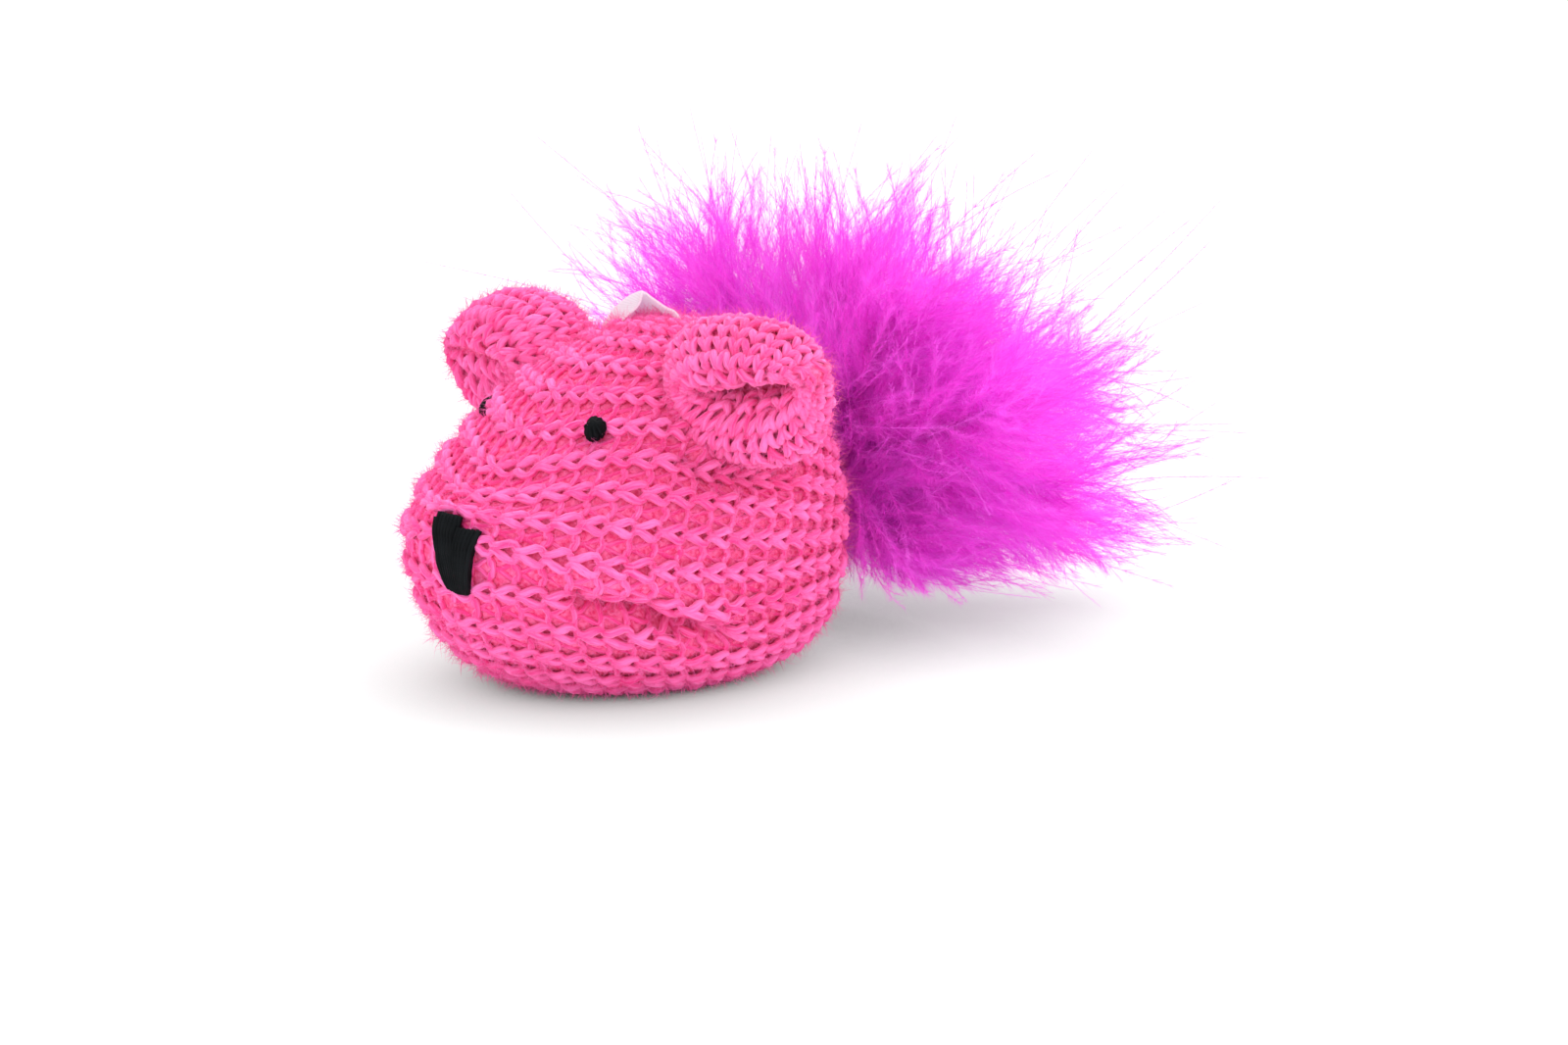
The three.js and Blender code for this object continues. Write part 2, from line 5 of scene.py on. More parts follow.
import bpy
import numpy as np
from bpy.props import FloatProperty, FloatVectorProperty, IntProperty, PointerProperty
from bpy.types import Operator, Panel, PropertyGroup
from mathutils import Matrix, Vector


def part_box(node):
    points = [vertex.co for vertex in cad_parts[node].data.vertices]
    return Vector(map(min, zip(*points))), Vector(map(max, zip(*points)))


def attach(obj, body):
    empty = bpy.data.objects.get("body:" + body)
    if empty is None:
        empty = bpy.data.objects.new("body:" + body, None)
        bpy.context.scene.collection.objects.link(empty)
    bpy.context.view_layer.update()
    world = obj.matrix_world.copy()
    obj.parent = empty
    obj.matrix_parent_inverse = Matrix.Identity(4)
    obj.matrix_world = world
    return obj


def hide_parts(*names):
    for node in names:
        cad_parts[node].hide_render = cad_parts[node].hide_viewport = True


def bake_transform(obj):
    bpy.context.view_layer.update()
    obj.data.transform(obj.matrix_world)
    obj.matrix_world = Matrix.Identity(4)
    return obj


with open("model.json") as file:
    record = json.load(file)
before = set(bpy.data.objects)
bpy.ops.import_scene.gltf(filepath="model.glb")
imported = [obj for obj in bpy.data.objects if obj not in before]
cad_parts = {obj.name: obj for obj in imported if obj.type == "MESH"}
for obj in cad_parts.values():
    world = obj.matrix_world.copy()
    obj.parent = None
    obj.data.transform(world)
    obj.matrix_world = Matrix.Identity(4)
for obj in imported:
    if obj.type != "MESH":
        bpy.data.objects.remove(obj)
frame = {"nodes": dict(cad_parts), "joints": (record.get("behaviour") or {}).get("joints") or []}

bl_info = {
    "name": "Knitted Catnip Toy",
    "version": (1, 0, 0),
    "blender": (4, 5, 0),
    "location": "View3D > Sidebar > Catnip Toy",
    "description": "Knits, stuffs and trims a small toy head and gives it a feather tail",
    "category": "Object",
}

MM = 0.001
BAKE_MAP = "OFBake"
YARN_MAP = "yarn_lay"
# The tint attribute: a random tone for each stitch or strand, which on the knit also carries painted shade
# from each loop's height
TINT = "tint"
RNG_SEED = 20
SIDES = {"left": 1, "right": -1}

# The head's form: the part's own driving sizes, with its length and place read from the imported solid
HEAD_LOW, HEAD_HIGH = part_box("knit_body")
NOSE_Y = HEAD_LOW.y
HEAD_LENGTH = HEAD_HIGH.y - HEAD_LOW.y
HEAD_HALF_WIDTH = 27.6 * MM
CROWN_RISE = 28.4 * MM
BELLY_DROP = 26.5 * MM
NOSE_AXIS_HEIGHT = 23 * MM
BACK_AXIS_HEIGHT = 23.5 * MM
FRONT_ROUNDNESS = 0.8
BACK_ROUNDNESS = 0.44
UPPER_SQUARENESS = 1.85
LOWER_SQUARENESS = 3.2
CHEEK_TAPER = 0.16
FOREHEAD_TAPER = 0.95
FOREHEAD_STEEPNESS = 3.3
SNOUT_FULLNESS = 0.7
SNOUT_SHARE = 0.09
CHIN_TAPER = 0.08
BELLY_SOFTNESS = 5 * MM
BELLY_CUT = 0.5 * MM
FLOOR_CLEARANCE = 0.05 * MM
YARN_CLEARANCE = 0.68 * MM

# The fold pressed into the left cheek and the tuck under the left ear, along points on the head
CHEEK_FOLD = MM * np.array([
    (17.5, -25, 16.3), (19, -22.9, 15.4), (21, -19.8, 15.1), (22.5, -16.9, 14.7),
    (22.9, -14.7, 12.6), (23.6, -11.6, 11.3), (24.5, -5.5, 9.5),
])
CHEEK_FOLD_DEPTH = 4.4 * MM
CHEEK_FOLD_HALF = 1.6 * MM
FOLD_SWELL = 1.6 * MM
FOLD_SWELL_HALF = 2.2 * MM
FOLD_SWELL_RISE = np.array([0, 0, 3.2]) * MM
EAR_TUCK = np.array([(20.8, -7.9, 34.5), (22.9, -6.1, 32.3), (24.4, 0.6, 30.9), (24.4, 7.3, 30.2)]) * MM
EAR_TUCK_DEPTH = 2.4 * MM
EAR_TUCK_HALF = 2 * MM

# The pucker in front of the label
PUCKER = np.array([2.4, 2.4, 47.8]) * MM
PUCKER_RISE = 0.9 * MM
PUCKER_HALF = 7.5 * MM

# How the wales lie: they leave the middle of the face, from chin to crown, and meet at the gather
CHIN_END = math.radians(60)
CROWN_END = math.radians(106)
GATHER_END = math.pi - 0.05
FABRIC_TURNS = 241
FABRIC_SHARES = 81
FABRIC_SPREADS = 240
GIRTH_STEPS = 97
EVEN_SHARE = 0.45

# How a stitch lies: a loop leans over itself, reaches past its own course and stands out of the fabric
LOOP_LEAN = 0.3
LOOP_REACH = 0.58
EAR_LOOP_REACH = 0.8
FRONT_WALE_SWELL = -0.12
BACK_WALE_SWELL = 0.2
LEG_PLUMPNESS = 0.42
UNRULY_SHARE = 0.05
FLAT_SHARE = 0.12
STITCH_STEPS = 16
YARN_SIDES = 6
LEAST_STITCH = 1.65 * MM
FUZZ_HALF_WIDTH = 0.027 * MM
FUZZ_SWAY = 0.9
FUZZ_CURL = 0.7
# Loose fibres get a lighter tint than the yarn: painted light standing in for the halo they catch
FUZZ_PAINTED_LIGHT = 0.8
FUZZ_LEAST = 0.25
EAR_FUZZ_PART = 6
LINING_GAP = 0.15 * MM
EAR_LINING_RIBS = 2.6
LINING_GRID = (96, 64)
EAR_LINING_GRID = (48, 32)

# How uneven the stitches are, how their tints vary at random, the painted shade that makes raised loops
# lighter and sunken ones darker, and how they flatten towards the face
UNRULY_EXTRA = 1.2
EAR_UNRULINESS = 2
LEAN_JITTER = 0.05
REACH_JITTER = 0.06
DEPTH_JITTER = 0.12
TINT_JITTER = 0.14
RELIEF_PAINTED_SHADE = 0.1
FLATTENING = 0.45
FABRIC_LIFT = 0.2 * MM
PLY_FLATNESS = 0.1

# Ears, by side: 1 is the left one and -1 the right one
EAR_BACK = math.radians(98)
EAR_UP = math.radians(42.5)
EAR_STANDOFF = 4.6 * MM
EAR_HALF_WIDTH = {1: 12.8 * MM, -1: 12 * MM}
EAR_HALF_HEIGHT = 10 * MM
EAR_HALF_THICKNESS = 8 * MM
EAR_ROUNDNESS = 0.8
EAR_SQUARENESS = 2.5
EAR_EDGE = {1: 0.5, -1: 0}
EAR_TOE_OUT = math.radians(10)
CREASE_HALF_LENGTH = 6.6 * MM
CREASE_DEPTH = {1: 7 * MM, -1: 1.2 * MM}
CREASE_HALF_GAP = 1.5 * MM
CREASE_TILT = {1: 0.26, -1: 0}
BROW_SWELL = {1: 2.2 * MM, -1: 1 * MM}
LIP_DROP = {1: 1.6 * MM, -1: 0.3 * MM}
EAR_SHIFT = {1: (0, 0, 0), -1: (0.9 * MM, 0.9 * MM, -2.1 * MM)}
CREASE_RISE = {1: 2.7 * MM, -1: 1.5 * MM}
CREASE_ASIDE = {1: 5 * MM, -1: 3 * MM}
CREASE_SKIP = 0.5
LIP_PLACE, LIP_HALF = 0.16, 0.13
BROW_PLACE, BROW_HALF = 0.3, 0.25
EAR_STEPS = 300
EAR_SINK = 3.5 * MM
SEAM_SPREAD = 14
SEAM_STITCHES = 4
SEAM_WAVER = 0.3 * MM
SEAM_STAND = 0.8 * MM
SEAM_STEPS = 60

# Sewn face, with the nose's outline in millimetres
NOSE_ASIDE = 1.5 * MM
NOSE_RISE = 0.6 * MM
NOSE_CLEARING = 6.5 * MM
EYE_SINK = {"left": 0.35 * MM, "right": 1.6 * MM}
EYES = {"left": (math.radians(65), math.radians(56.5)), "right": (math.radians(69), math.radians(130))}
NOSE_TOP, NOSE_STEP_TOP, NOSE_BOTTOM = 5.0, 3.5, -5.3
NOSE_STEP_AT = 0.12
NOSE_CORNER_AT = 0.75
NOSE_HALF_TOP, NOSE_HALF_BOTTOM = 4.5, 1.7
NOSE_BOTTOM_ASIDE = 0.4
NOSE_SINK = 0.15 * MM
NOSE_LAYERS = (0.2 * MM, 0.75 * MM)
EYE_TURNS = 9
EYE_HALF_WIDTH, EYE_HALF_HEIGHT = 1.1, 1.5
EYE_HALF_DEPTH = 1.1 * MM
EYE_SAG = 0.25 * MM
EYE_THREAD = 0.42 * MM
FACE_TWIST = 1 / (2 * MM)
FACE_FLATNESS = 0.08
NOSE_STEPS = 15
NOSE_WAVER = 0.05 * MM
NOSE_CORNER_FALL = 5
NOSE_BOTTOM_RISE = 0.5
NOSE_BOW_ENDS = (0.02, 0.98)
NOSE_BOW_ROUNDNESS = 0.4
NOSE_TINT_JITTER = 0.15
EYE_STEPS = 24
FRONT_STEPS = 160

# Label: its two edges along its fold, as places forward and up from its root
LABEL_NEAR = MM * np.array([
    (-3.5, -2.0), (-2.3, 0.15), (-0.9, 1.35), (-0.2, 2.35), (0.25, 3.65),
    (1.6, 2.75), (3.3, 1.55), (4.8, 0.65), (6.2, -2.2),
])
LABEL_FAR = MM * np.array([
    (-5.5, -3.6), (-4.4, -1.6), (-3.5, -0.35), (-1.6, 1.25), (0.3, 2.0),
    (-0.1, 1.25), (-0.7, 0.35), (-1.2, -0.75), (-1.4, -2.4),
])
LABEL_BACK = 2 * MM
LABEL_YAW = math.radians(-42)
LABEL_GRID = (40, 16)
LABEL_MEASURES = 100
RIBBON_EDGE = math.radians(40)

# Binding, gather and seams
BINDING_CROWN_RADIUS = 3 * MM
BINDING_TURNS, BINDING_STEPS = 16, 20
BINDING_THREAD = 0.55 * MM
BINDING_END_GAPS = (0.3 * MM, 0.4 * MM)
BINDING_SINK = 0.3 * MM
LEAST_WRAP = 0.35 * MM
GATHER_THREAD = 0.52 * MM
GATHER_STEPS = 64
GATHER_SINK = 0.6 * MM
SEAM_THREAD = 0.42 * MM
SEWING_TWIST = 1 / (3 * MM)
SEWING_FLATNESS = 0.1
GATHER_FLATNESS = 0.15

# Tail
TIP_STRAND = 22 * MM
TIP_REACH = 9 * MM
WISP_ROOM = 8 * MM
TUFT_STRANDS = 7
# How far a strand's knee and tip stray, and the shares of its way that it reaches
TUFT_STRAND = (0.4, 0.07, (0.7, 1.05))
STRAY_STRAND = (0.7, 0.3, (1.0, 1.35))
STRAY_SHARE = 0.1
COLLAR_TUFTS = 4
COLLAR_LENGTH = 17 * MM
PLUME_BENDS = {"feather_16": (-8, 0.5, -1.5), "feather_18": (0.5, 0.3, 5.5)}
FULL_PLUME = 60 * MM
PLUME_GROWTH = 0.7
UPRIGHT_FULLNESS = 0.6
STEM_SWAY = 0.06
LEAST_STEM = 0.45
STEM_THICK, STEM_THIN = 0.4, 0.08
CROWDING = 0.65
TUFT_TURN = 2.4
TUFT_TURN_PLAY = 0.6
SPREAD_AT_FOOT, SPREAD_AT_TIP, SPREAD_FALL = 100, 34, 0.6
SPREAD_PLAY = (0.8, 1.15)
TUFT_FLATNESS = 0.85
TUFT_LENGTHS = (0.75, 1.08)
TUFT_BEND, TUFT_BEND_PLAY = 0.6, 0.22
TUFT_AIM_PART, TUFT_BEND_PART = 0.45, 0.55
FOOT_PLAY = 0.06
COLLAR_SHARE = 0.04
COLLAR_LEAN = 0.45
COLLAR_LENGTHS = (0.7, 1.2)
COLLAR_PLAY = 0.25
BARB_TAPER = 0.3
STEM_STEPS = 14
BARB_STEPS = 9
LEAST_BARB_STEPS = 4
BARB_TINT_JITTER, BARB_SHADE = 0.2, 0.8
BARBULE_HALF = 0.05 * MM
BARBULE_SPAN = (0.04, 0.98)
BARBULE_PLAY = 0.5
BARBULE_SWEEP = (0.8, 2.6)
BARBULE_TAPER = 0.65
BARBULE_LENGTHS = (0.5, 1.1)
TAIL_SWING = 16
SWING_PRESS = 4 * MM
HEAD_ROOM = 2 * MM
HEAD_GAP = 0.6 * MM
FLOOR_GAP = 1 * MM
FLOOR_GAP_RISE = 0.035
ROOT_GAP = 9.5 * MM
ROOT_GAP_FALL = 0.11

# Filling
WAD_GRAIN = 1.2 * MM
WAD_TUFT = 5 * MM
WAD_DEPTH = 1.4 * MM
WAD_FOLD_PULL = 2.2
WAD_FOLD_SPREAD = 3

# Stage, with the head's place in a frame of 1600 by 1066 pixels
FLOOR_WHITE = 0.98
FLOOR_LIFT = 0.95
SEEN_FLOOR = 0.15
# The floor's shadow near the toy is partly painted: the glow the camera sees is dimmed by how closed in each
# spot is, over a small seen share of real lit shade
PAINTED_SHADOW_REACH = 0.023
PAINTED_SHADOW_SOFTNESS = 0.5
FRAME_WIDTH, FRAME_HEIGHT = 1600, 1066
HEAD_PIXEL = (640, 515)
HEAD_MIDDLE = Vector((0, 0, 23.02 * MM))
PIXELS_PER_METRE = 7400
SENSOR_WIDTH = 36
NEAREST_SEEN = 0.05
LIGHT_AIM = Vector((0, 0.02, 0.02))
# Each soft light's size and place, by the setting of its power
SOFTBOXES = {
    "key": (0.7, (-0.15, 0.25, 0.75)),
    "fill": (0.8, (0.3, -0.75, 0.45)),
    "side": (0.6, (0.6, 0.5, 0.35)),
}

# How much light comes through the thin pieces
DOWN_GLOW = 0.62
RIBBON_GLOW = 0.5


def lerp(a, b, share):
    return a + (b - a) * share


def unit(v):
    return v / np.maximum(np.linalg.norm(v, axis=-1, keepdims=True), 1e-12)


def steps_of(line):
    """Lengths of the steps along a line of points."""
    return np.linalg.norm(np.diff(line, axis=0), axis=1)


def way_along(steps):
    """How far along a line each of its points lies."""
    return np.concatenate([[0], np.cumsum(steps)])


# Head surface: back runs from 0 at the nose to pi at the gather, round turns from +X towards +Z
def settle(height):
    return (height + np.hypot(height, BELLY_SOFTNESS)) / 2


def hanging_head(back, rounds):
    share = (1 - np.cos(back)) / 2
    front = (1 - share) ** 2
    fullness = np.maximum(np.sin(back), 1e-4) ** lerp(FRONT_ROUNDNESS, BACK_ROUNDNESS, share)
    across, high = np.cos(rounds), np.sin(rounds)
    half_width = HEAD_HALF_WIDTH * fullness * (1 - CHEEK_TAPER * front)
    snout = SNOUT_FULLNESS * np.exp(-share / SNOUT_SHARE)
    slope = (1 - share) ** FOREHEAD_STEEPNESS * (1 - snout)
    rise = CROWN_RISE * fullness * (1 - FOREHEAD_TAPER * slope)
    drop = BELLY_DROP * fullness * (1 - CHIN_TAPER * front)
    power = np.where(high > 0, UPPER_SQUARENESS, lerp(UPPER_SQUARENESS, LOWER_SQUARENESS, share))
    half_height = np.where(high > 0, rise, drop)
    total = np.abs(across / half_width) ** power + np.abs(high / half_height) ** power
    radius = total ** (-1 / power)
    axis_height = lerp(NOSE_AXIS_HEIGHT, BACK_AXIS_HEIGHT, share)
    along = NOSE_Y + HEAD_LENGTH * share
    return np.stack([radius * across, along, settle(axis_height + radius * high)], -1)


BELLY_LINE = hanging_head(np.linspace(0.05, math.pi - 0.05, 200), np.full(200, -math.pi / 2))
BELLY_SHIFT = BELLY_LINE[:, 2].min() + BELLY_CUT


def head_point(back, rounds):
    return hanging_head(back, rounds) - np.array([0, 0, BELLY_SHIFT])


def head_normal(back, rounds, step=0.002):
    back = np.maximum(back, 0.03)
    along = head_point(back + step, rounds) - head_point(back - step, rounds)
    around = head_point(back, rounds + step) - head_point(back, rounds - step)
    return unit(np.cross(along, around))


def inside_head(points, swell):
    """True where points lie inside the head's surface swollen by that much."""
    share = (points[:, 1] - NOSE_Y + swell) / (HEAD_LENGTH + 2 * swell)
    within = (share > 0) & (share < 1)
    back = np.arccos(np.clip(1 - 2 * share, -1, 1))
    centre = NOSE_AXIS_HEIGHT - BELLY_SHIFT
    rounds = np.arctan2(points[:, 2] - centre, points[:, 0])
    surface = head_point(back, rounds)
    reach = np.hypot(surface[:, 0], surface[:, 2] - centre) + swell
    return within & (np.hypot(points[:, 0], points[:, 2] - centre) < reach)


class HeadCloth:
    """Places a point of the head's fabric by its shares of the way round and of the way back."""

    def __init__(self):
        top, bottom = math.tan(CROWN_END / 2), math.tan(CHIN_END / 2)
        self.middle, self.focus = (top - bottom) / 2, (top + bottom) / 2
        self.turns = np.linspace(0, 2 * math.pi, FABRIC_TURNS)
        self.shares = np.linspace(0, 1, FABRIC_SHARES)
        widest = math.log(2 * math.tan(GATHER_END / 2) / self.focus) + 0.2
        spreads = np.linspace(0, widest, FABRIC_SPREADS)
        rows, lengths = [], []
        for turn in self.turns:
            line = head_point(*self.unfold(np.full(FABRIC_SPREADS, turn), spreads))
            way = way_along(steps_of(line) + 1e-9)
            rows.append(np.interp(self.shares * way[-1], way, spreads))
            lengths.append(way[-1])
        self.spreads = np.array(rows)
        self.length = float(np.mean(lengths))
        self.first = 0
        self.girth_share = self.turns / (2 * math.pi)
        ring = self.angles(self.girth_share, np.full(FABRIC_TURNS, EVEN_SHARE))
        girth = way_along(steps_of(head_point(*ring)))
        self.girth_share = girth / girth[-1]

    def unfold(self, turn, spread):
        """Angles on the head from a turn round the face's middle line and a spread away from it."""
        across = self.focus * np.sinh(spread) * np.cos(turn)
        high = self.middle + self.focus * np.cosh(spread) * np.sin(turn)
        back = np.minimum(2 * np.arctan(np.hypot(across, high)), GATHER_END)
        return back, np.arctan2(high, across)

    def angles(self, around, along):
        turn = np.interp(around - np.floor(around), self.girth_share, self.turns)
        row = turn / self.turns[1]
        column = np.minimum(np.abs(along), 1) * (len(self.shares) - 1)
        i = np.minimum(row.astype(int), len(self.turns) - 2)
        j = np.minimum(column.astype(int), len(self.shares) - 2)
        here = lerp(self.spreads[i, j], self.spreads[i, j + 1], column - j)
        beside = lerp(self.spreads[i + 1, j], self.spreads[i + 1, j + 1], column - j)
        return self.unfold(turn, np.sign(along) * lerp(here, beside, row - i))

    def girth(self, along):
        back, rounds = self.angles(np.linspace(0, 1, GIRTH_STEPS), np.full(GIRTH_STEPS, along))
        return steps_of(head_point(back, rounds)).sum()

    def place(self, around, along, depth):
        return drape(*self.angles(around, along), depth)


def drape(back, rounds, depth):
    """Points of the head's fabric, with its pucker, its folds and its flat belly."""
    normal = head_normal(back, rounds)
    point = head_point(back, rounds)
    pucker = PUCKER_RISE * np.exp(-((np.linalg.norm(point - PUCKER, axis=1) / PUCKER_HALF) ** 2))
    swell = FOLD_SWELL * near_line(point, CHEEK_FOLD + FOLD_SWELL_RISE, FOLD_SWELL_HALF)
    point = point + normal * (depth + pucker + swell - pressed_in(point))[:, None]
    point[:, 2] = np.maximum(point[:, 2], YARN_CLEARANCE)
    return point, normal


def line_head(around, along, depth):
    """Places a point of the head's lining, which runs straight from the nose to the gather."""
    return drape(np.clip(math.pi * along, 0.02, GATHER_END), 2 * math.pi * around, depth)


def pressed_in(points, spread=1):
    """How far the cheek's fold and the ear's tuck draw the head in. spread widens what they pull on."""
    fold = CHEEK_FOLD_DEPTH * near_line(points, CHEEK_FOLD, spread * CHEEK_FOLD_HALF)
    tuck = EAR_TUCK_DEPTH * near_line(points, EAR_TUCK, spread * EAR_TUCK_HALF)
    return np.maximum(fold, tuck)


def near_line(points, line, half):
    """1 on a bent line, fading to 0 away from it."""
    nearest = np.full(len(points), np.inf)
    for start, end in zip(line[:-1], line[1:]):
        way = end - start
        share = np.clip((points - start) @ way / (way @ way), 0, 1)
        nearest = np.minimum(nearest, np.linalg.norm(points - start - share[:, None] * way, axis=1))
    return np.exp(-((nearest / half) ** 2))


class EarCloth:
    """Places a point of an ear's fabric, from the crease in its front over the rim to its root."""

    def __init__(self, side):
        root = head_point(np.array([EAR_BACK]), np.array([EAR_UP]))[0]
        normal = head_normal(np.array([EAR_BACK]), np.array([EAR_UP]))[0]
        self.centre = (root + EAR_STANDOFF * normal) * (side, 1, 1) + EAR_SHIFT[side]
        self.lip, self.brow = LIP_DROP[side], BROW_SWELL[side]
        self.half_width, self.edge = EAR_HALF_WIDTH[side], EAR_EDGE[side]
        self.root = root * (side, 1, 1)
        self.outward = normal * (side, 1, 1)
        self.facing = np.array([side * math.sin(EAR_TOE_OUT), -math.cos(EAR_TOE_OUT), 0])
        self.up = np.array([0.0, 0.0, 1.0])
        self.across = np.cross(self.up, self.facing)
        self.aside, self.rise = side * CREASE_ASIDE[side], CREASE_RISE[side]
        self.crease, self.tilt = CREASE_DEPTH[side], CREASE_TILT[side]
        self.overs = np.linspace(0.008, math.pi - 0.1, EAR_STEPS)
        turns = np.linspace(0, 2 * math.pi, 12, False)
        lines = [self.surface(self.overs, np.full(EAR_STEPS, turn)) for turn in turns]
        self.way_over = way_along(np.mean([steps_of(line) for line in lines], axis=0))
        self.length = self.way_over[-1]
        self.first = CREASE_SKIP * self.crease / self.length

    def surface(self, over, rounds):
        ring = np.maximum(np.sin(over), 1e-4) ** EAR_ROUNDNESS
        front = over < math.pi / 2
        slit = np.where(front, 1 - ring, 0)
        corner = np.abs(np.cos(rounds)) ** EAR_SQUARENESS + np.abs(np.sin(rounds)) ** EAR_SQUARENESS
        square = corner ** (-1 / EAR_SQUARENESS)
        reach = CREASE_HALF_LENGTH * slit + self.half_width * ring * square
        across = self.aside * slit + np.cos(rounds) * reach
        lip = self.lip * np.maximum(np.sin(rounds), 0) * np.exp(-(((ring - LIP_PLACE) / LIP_HALF) ** 2))
        level = self.rise + self.tilt * CREASE_HALF_LENGTH * np.cos(rounds)
        high = level * slit + np.sin(rounds) * EAR_HALF_HEIGHT * ring * square - np.where(front, lip, 0)
        pinch = self.crease * np.exp(-((ring * EAR_HALF_HEIGHT / CREASE_HALF_GAP) ** 2))
        brow = self.brow * np.sin(rounds) * np.exp(-(((ring - BROW_PLACE) / BROW_HALF) ** 2))
        edge = self.edge * np.minimum(np.abs(across) / self.half_width, 1) ** 4
        thick = EAR_HALF_THICKNESS * (1 - np.where(front, edge, 0))
        out = thick * np.cos(over) + np.where(front, brow - pinch, 0)
        directions = (across[:, None] * self.across, high[:, None] * self.up, out[:, None] * self.facing)
        return self.centre + sum(directions)

    def girth(self, along):
        over = np.full(GIRTH_STEPS, np.interp(along * self.length, self.way_over, self.overs))
        return steps_of(self.surface(over, np.linspace(0, 2 * math.pi, GIRTH_STEPS))).sum()

    def place(self, around, along, depth, step=0.004):
        over = np.interp(along * self.length, self.way_over, self.overs)
        rounds = 2 * math.pi * around
        point = self.surface(over, rounds)
        forward = self.surface(over + step, rounds) - self.surface(over - step, rounds)
        sideways = self.surface(over, rounds + step) - self.surface(over, rounds - step)
        normal = unit(np.cross(forward, sideways))
        return point + normal * depth[:, None], normal


# Meshes from arrays
class MeshParts:
    """Gathers the vertices, faces, maps and tints of one piece before its mesh is made."""

    def __init__(self):
        self.points, self.tints, self.faces = [], [], []
        self.maps = {BAKE_MAP: [], YARN_MAP: []}
        self.count = 0

    def add(self, points, faces, bake, lay=None, tint=0.5):
        """faces is a list of index arrays; bake and lay give a place on each map to each face corner."""
        self.points.append(points)
        self.tints.append(np.broadcast_to(np.asarray(tint, float), len(points)))
        for face, bake_uv, lay_uv in zip(faces, bake, lay if lay is not None else bake):
            self.faces.append(face + self.count)
            self.maps[BAKE_MAP].append(bake_uv.reshape(-1, 2))
            self.maps[YARN_MAP].append(lay_uv.reshape(-1, 2))
        self.count += len(points)

    def build(self, name, material):
        points = np.concatenate(self.points)
        totals = np.concatenate([np.full(len(f), f.shape[1]) for f in self.faces])
        corners = np.concatenate([f.ravel() for f in self.faces])
        mesh = bpy.data.meshes.new(name)
        mesh.vertices.add(len(points))
        mesh.vertices.foreach_set("co", points.astype(np.float32).ravel())
        mesh.loops.add(len(corners))
        mesh.loops.foreach_set("vertex_index", corners.astype(np.int32))
        mesh.polygons.add(len(totals))
        starts = np.concatenate([[0], np.cumsum(totals)[:-1]])
        mesh.polygons.foreach_set("loop_start", starts.astype(np.int32))
        mesh.polygons.foreach_set("use_smooth", np.ones(len(totals), bool))
        mesh.update(calc_edges=True)
        for map_name, places in self.maps.items():
            layer = mesh.uv_layers.new(name=map_name)
            layer.data.foreach_set("uv", np.concatenate(places).astype(np.float32).ravel())
        tint = mesh.attributes.new(TINT, "FLOAT", "POINT")
        tint.data.foreach_set("value", np.concatenate(self.tints).astype(np.float32))
        mesh.materials.append(material)
        piece = bpy.data.objects.new(name, mesh)
        bpy.context.scene.collection.objects.link(piece)
        return piece


def points_of(mesh):
    points = np.empty(len(mesh.vertices) * 3)
    mesh.vertices.foreach_get("co", points)
    return points.reshape(-1, 3)


def move_points(mesh, points):
    mesh.vertices.foreach_set("co", points.astype(np.float32).ravel())
    mesh.update()


def sweep(centres, outs, radius, sides, closed, turns=0.0, flat=0.0):
    """A tube along centres. Its section is squeezed by flat and twists by turns for each metre."""
    if closed:
        ahead = np.roll(centres, -1, 0) - np.roll(centres, 1, 0)
    else:
        ahead = np.gradient(centres, axis=0)
    tangent = unit(ahead)
    out = unit(outs - (outs * tangent).sum(1)[:, None] * tangent)
    side = np.cross(tangent, out)
    lengths = way_along(steps_of(centres))
    angles = 2 * math.pi * np.arange(sides) / sides
    lobes = 1 + flat * np.cos(2 * (angles[None] - 2 * math.pi * turns * lengths[:, None]))
    reach = np.broadcast_to(np.asarray(radius, float), len(centres))[:, None] * lobes
    offsets = np.cos(angles)[None, :, None] * out[:, None] + np.sin(angles)[None, :, None] * side[:, None]
    points = (centres[:, None] + reach[..., None] * offsets).reshape(-1, 3)
    rows = np.arange(len(centres) if closed else len(centres) - 1)
    after = (rows + 1) % len(centres)
    columns = np.arange(sides)
    beside = (columns + 1) % sides
    here, there = rows[:, None] * sides, after[:, None] * sides
    quads = np.stack([here + columns, here + beside, there + beside, there + columns], -1).reshape(-1, 4)
    begin, finish = lengths[:-1], lengths[1:]
    if closed:
        closing = lengths[-1] + np.linalg.norm(centres[0] - centres[-1])
        begin, finish = lengths, np.append(finish, closing)
    low = np.broadcast_to(columns / sides, (len(rows), sides))
    high = low + 1 / sides
    corners = ((begin, low), (begin, high), (finish, high), (finish, low))
    lay = [np.stack(np.broadcast_arrays(end[:, None], place), -1) for end, place in corners]
    faces, lays = [quads], [np.stack(lay, 2).reshape(-1, 4, 2)]
    if not closed:
        first = columns[::-1][None]
        last = (columns + (len(centres) - 1) * sides)[None]
        faces += [first, last]
        lays += [np.zeros((1, sides, 2)), np.full((1, sides, 2), lengths[-1])]
    return points, faces, lays


def bake_cell(lays, index, count, length):
    """Squeezes a tube's own lay into its row of the bake map."""
    cells = []
    for lay in lays:
        along = np.clip(lay[..., 0] / max(length, 1e-9), 0, 1)
        row = (index + 0.1 + 0.8 * np.clip(lay[..., 1], 0, 1)) / count
        cells.append(np.stack([along, row], -1))
    return cells


